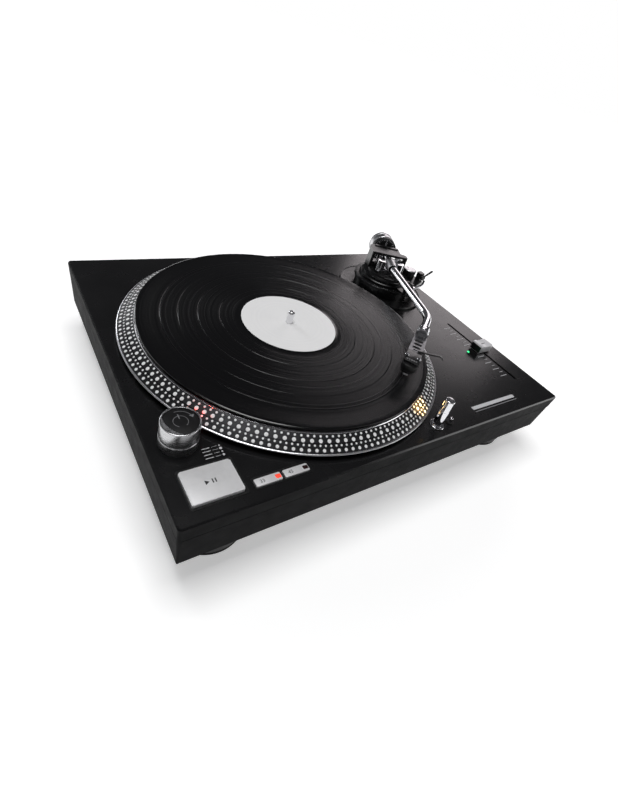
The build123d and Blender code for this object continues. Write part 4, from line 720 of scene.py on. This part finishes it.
finish_mesh("finger_lift_strip", bm, "black_alloy", "headshell", "finger_lift", sharp=70)

# counterweight and its force dial
cw = [(3.58, 45.2), (16.6, 45.2), (17.5, 46.1), (17.5, 55.6), (16.9, 56.0), (16.9, 57.0), (17.5, 57.4), (17.5, 61.2), (16.6, 62.2), (12.0, 62.2), (11.4, 61.4), (6.0, 61.4), (5.6, 62.2), (3.58, 62.2)]
lathe("counterweight_body", rounded(cw, 0.3, 3), A0, "alloy", "counterweight", "counterweight", W=AR, U=AP, seg=160)
lathe("force_dial_body", rounded([(3.58, 38.0), (16.4, 38.0), (17.3, 38.9), (17.3, 44.9), (3.58, 44.9)], 0.3, 3), A0, "black", "force_dial", "force_dial", W=AR, U=AP, seg=128)
bm = bmesh.new()
for i in range(40):
    t = 2 * math.pi * i / 40
    d = AP * math.cos(t) + Vector((0, 0, 1)) * math.sin(t)
    e = AR.cross(d)
    r0 = 12.6 if i % 5 == 0 else 14.4
    w = 0.28 if i % 5 == 0 else 0.16
    prism_bm(bm, [(-w, r0), (w, r0), (w, 16.2), (-w, 16.2)], 37.9, 38.06, A0, e, d, AR)
finish_mesh("force_dial_ticks", bm, "white_ink", "force_dial")
for i, txt in enumerate(("0", "1", "2", "3", "4")):
    t = math.radians(90 + 72 * i)
    d = AP * math.cos(t) + Vector((0, 0, 1)) * math.sin(t)
    digits("force_dial_digit_%d" % i, txt, 0.0056, A0 + AR * 0.03795 + d * 0.0096, d.cross(-AR), d, -AR, "white_ink", "force_dial")

# anti-skate dial, cue lever
K1 = P3(190.4, 69.4, 0)
lathe("anti_skate_side", rounded([(0, 18.2), (2.0, 18.2), (2.0, 20.9), (8.75, 20.9), (8.75, 31.2), (0, 31.2)], 0.25, 3), K1, "black", "anti_skate_dial", "anti_skate_dial", seg=96)
lathe("anti_skate_top", rounded([(0, 31.0), (8.6, 31.0), (8.6, 31.6), (8.1, 32.0), (0, 31.9)], 0.2, 3), K1, "alloy", "anti_skate_dial", seg=96)
bm = bmesh.new()
for i in range(36):
    t = 2 * math.pi * i / 36
    d = Vector((math.cos(t), math.sin(t), 0)); e = Vector((-math.sin(t), math.cos(t), 0))
    prism_bm(bm, [(-0.35, -0.5), (0.35, -0.5), (0.2, 0.0), (-0.2, 0.0)], 22.0, 30.6, K1 + d * 0.00875, e, d, Vector((0, 0, 1)))
prism_bm(bm, [(-0.3, 3.0), (0.3, 3.0), (0.3, 7.6), (-0.3, 7.6)], 31.9, 32.0, K1)
finish_mesh("anti_skate_grip", bm, "black", "anti_skate_dial")
LX, LZ = 200.5, 27.5
L0 = P3(LX, 53.6, LZ)
ld = Vector((math.cos(math.radians(32)), 0, math.sin(math.radians(32))))
bm = bmesh.new()
lathe_bm(bm, [(0, -3.4), (1.2, -3.4), (1.2, 0), (3.2, 0), (3.6, 0.4), (3.6, 3.6), (3.2, 4.0), (0, 4.0)], L0, (0, -1, 0), (1, 0, 0), 48)
pts = [L0 + Vector((0, -0.002, 0)) + ld * (k / 1000) for k in (0, 2, 4, 6, 8, 10, 12, 14, 16, 17, 17.6, 18)]
sweep_bm(bm, pts, [1.2, 1.2, 1.2, 1.2, 1.3, 1.4, 1.45, 1.5, 1.5, 1.4, 1.1, 0.6], 20)
finish_mesh("cue_lever_stick", bm, "black", "cue_lever", "cue_lever", sharp=45)

# ================================================================ scene, light
floor_me = bpy.data.meshes.new("studio_floor")
s = 30.0
floor_me.from_pydata([(-s, -s, 0), (s, -s, 0), (s, s, 0), (-s, s, 0)], [], [(0, 1, 2, 3)])
floor = bpy.data.objects.new("studio_floor", floor_me)
bpy.context.collection.objects.link(floor)
fm, fnt, fb = new_mat("studio_paper")
fb.inputs["Base Color"].default_value = (0.9, 0.9, 0.9, 1)
fb.inputs["Roughness"].default_value = 0.75
fb.inputs["Specular IOR Level"].default_value = 0.1
ftc = fnt.nodes.new("ShaderNodeTexCoord")
fln = fnt.nodes.new("ShaderNodeVectorMath"); fln.operation = "LENGTH"
fnt.links.new(ftc.outputs["Object"], fln.inputs[0])
fmr = fnt.nodes.new("ShaderNodeMapRange")
fmr.inputs["From Min"].default_value = 0.25
fmr.inputs["From Max"].default_value = 1.1
fmr.inputs["To Min"].default_value = 0.42
fmr.inputs["To Max"].default_value = 1.0
fnt.links.new(fln.outputs["Value"], fmr.inputs["Value"])
fb.inputs["Emission Color"].default_value = (1, 1, 1, 1)
fnt.links.new(fmr.outputs["Result"], fb.inputs["Emission Strength"])
floor_me.materials.append(fm)

R = ((0.8217664636708398, -0.5119396044195641, 0.2502353304644709),
     (-0.14401773120869876, -0.6114828091847379, -0.7780409161278352),
     (0.5513245616544049, 0.6033296076758394, -0.5762244460436371))
cam = bpy.data.cameras.new("camera")
cam.sensor_fit = "VERTICAL"
cam.sensor_height = 36.0
cam.lens = 462.976 * 36 / 800
cam.shift_x = 0.0
cam.shift_y = -0.05
cam.clip_start = 0.01
co = bpy.data.objects.new("camera", cam)
bpy.context.collection.objects.link(co)
rot = Matrix(((R[0][0], -R[1][0], -R[2][0]), (R[0][1], -R[1][1], -R[2][1]), (R[0][2], -R[1][2], -R[2][2])))
co.matrix_world = Matrix.Translation((-0.301809, -0.326815, 0.352627)) @ rot.to_4x4()
scene.camera = co


def area(name, loc, target, size, power, color=(1, 1, 1), size_y=None):
    d = bpy.data.lights.new(name, "AREA")
    d.shape = "RECTANGLE"
    d.size = size
    d.size_y = size_y or size
    d.energy = power
    d.color = color
    o = bpy.data.objects.new(name, d)
    bpy.context.collection.objects.link(o)
    o.location = loc
    o.rotation_euler = (Vector(target) - Vector(loc)).to_track_quat("-Z", "Y").to_euler()
    return o


area("overhead", (-0.25, 0.05, 2.3), (0, 0, 0), 1.1, 31)
area("rear_right_panel", (1.75, 1.15, 0.78), (0.1, 0.0, 0.08), 0.95, 4.4, (1.0, 0.93, 0.95), 0.75)
area("rear_left_strip", (-0.55, 2.0, 1.0), (0, 0, 0.08), 0.22, 6.0, (0.95, 0.97, 1.0), 1.0)
area("front_right", (1.7, -1.3, 0.55), (0.1, -0.15, 0.05), 0.9, 7)


def spot(name, loc, target, power, color, angle, blend=0.8, size=0.002):
    d = bpy.data.lights.new(name, "SPOT")
    d.energy = power
    d.color = color
    d.spot_size = math.radians(angle)
    d.spot_blend = blend
    d.shadow_soft_size = size
    o = bpy.data.objects.new(name, d)
    bpy.context.collection.objects.link(o)
    o.location = loc
    o.rotation_euler = (Vector(target) - Vector(loc)).to_track_quat("-Z", "Y").to_euler()
    return o


spot("target_glow", P3(31.0, -161.3, 26.5) + td * 0.006, P3(31.0, -161.3, 4.0) + td * 0.030, 0.16, (1.0, 0.62, 0.22), 62)
spot("strobe_glow", P3(KX + 17.2 * 0.8267, KY + 17.2 * 0.5627, 6.0), P3(SX, SY, 9.0), 0.035, (1.0, 0.05, 0.03), 110)

world = bpy.data.worlds.new("studio")
scene.world = world
world.use_nodes = True
wn, wl = world.node_tree.nodes, world.node_tree.links
bg = wn["Background"]
lp = wn.new("ShaderNodeLightPath")
mx = wn.new("ShaderNodeMix"); mx.data_type = "RGBA"
mx.inputs[6].default_value = (0.055, 0.055, 0.058, 1)
mx.inputs[7].default_value = (1, 1, 1, 1)
wl.new(lp.outputs["Is Camera Ray"], mx.inputs[0])
wl.new(mx.outputs[2], bg.inputs["Color"])
bg.inputs["Strength"].default_value = 1.0
scene.view_settings.view_transform = "Standard"
scene.view_settings.look = "None"
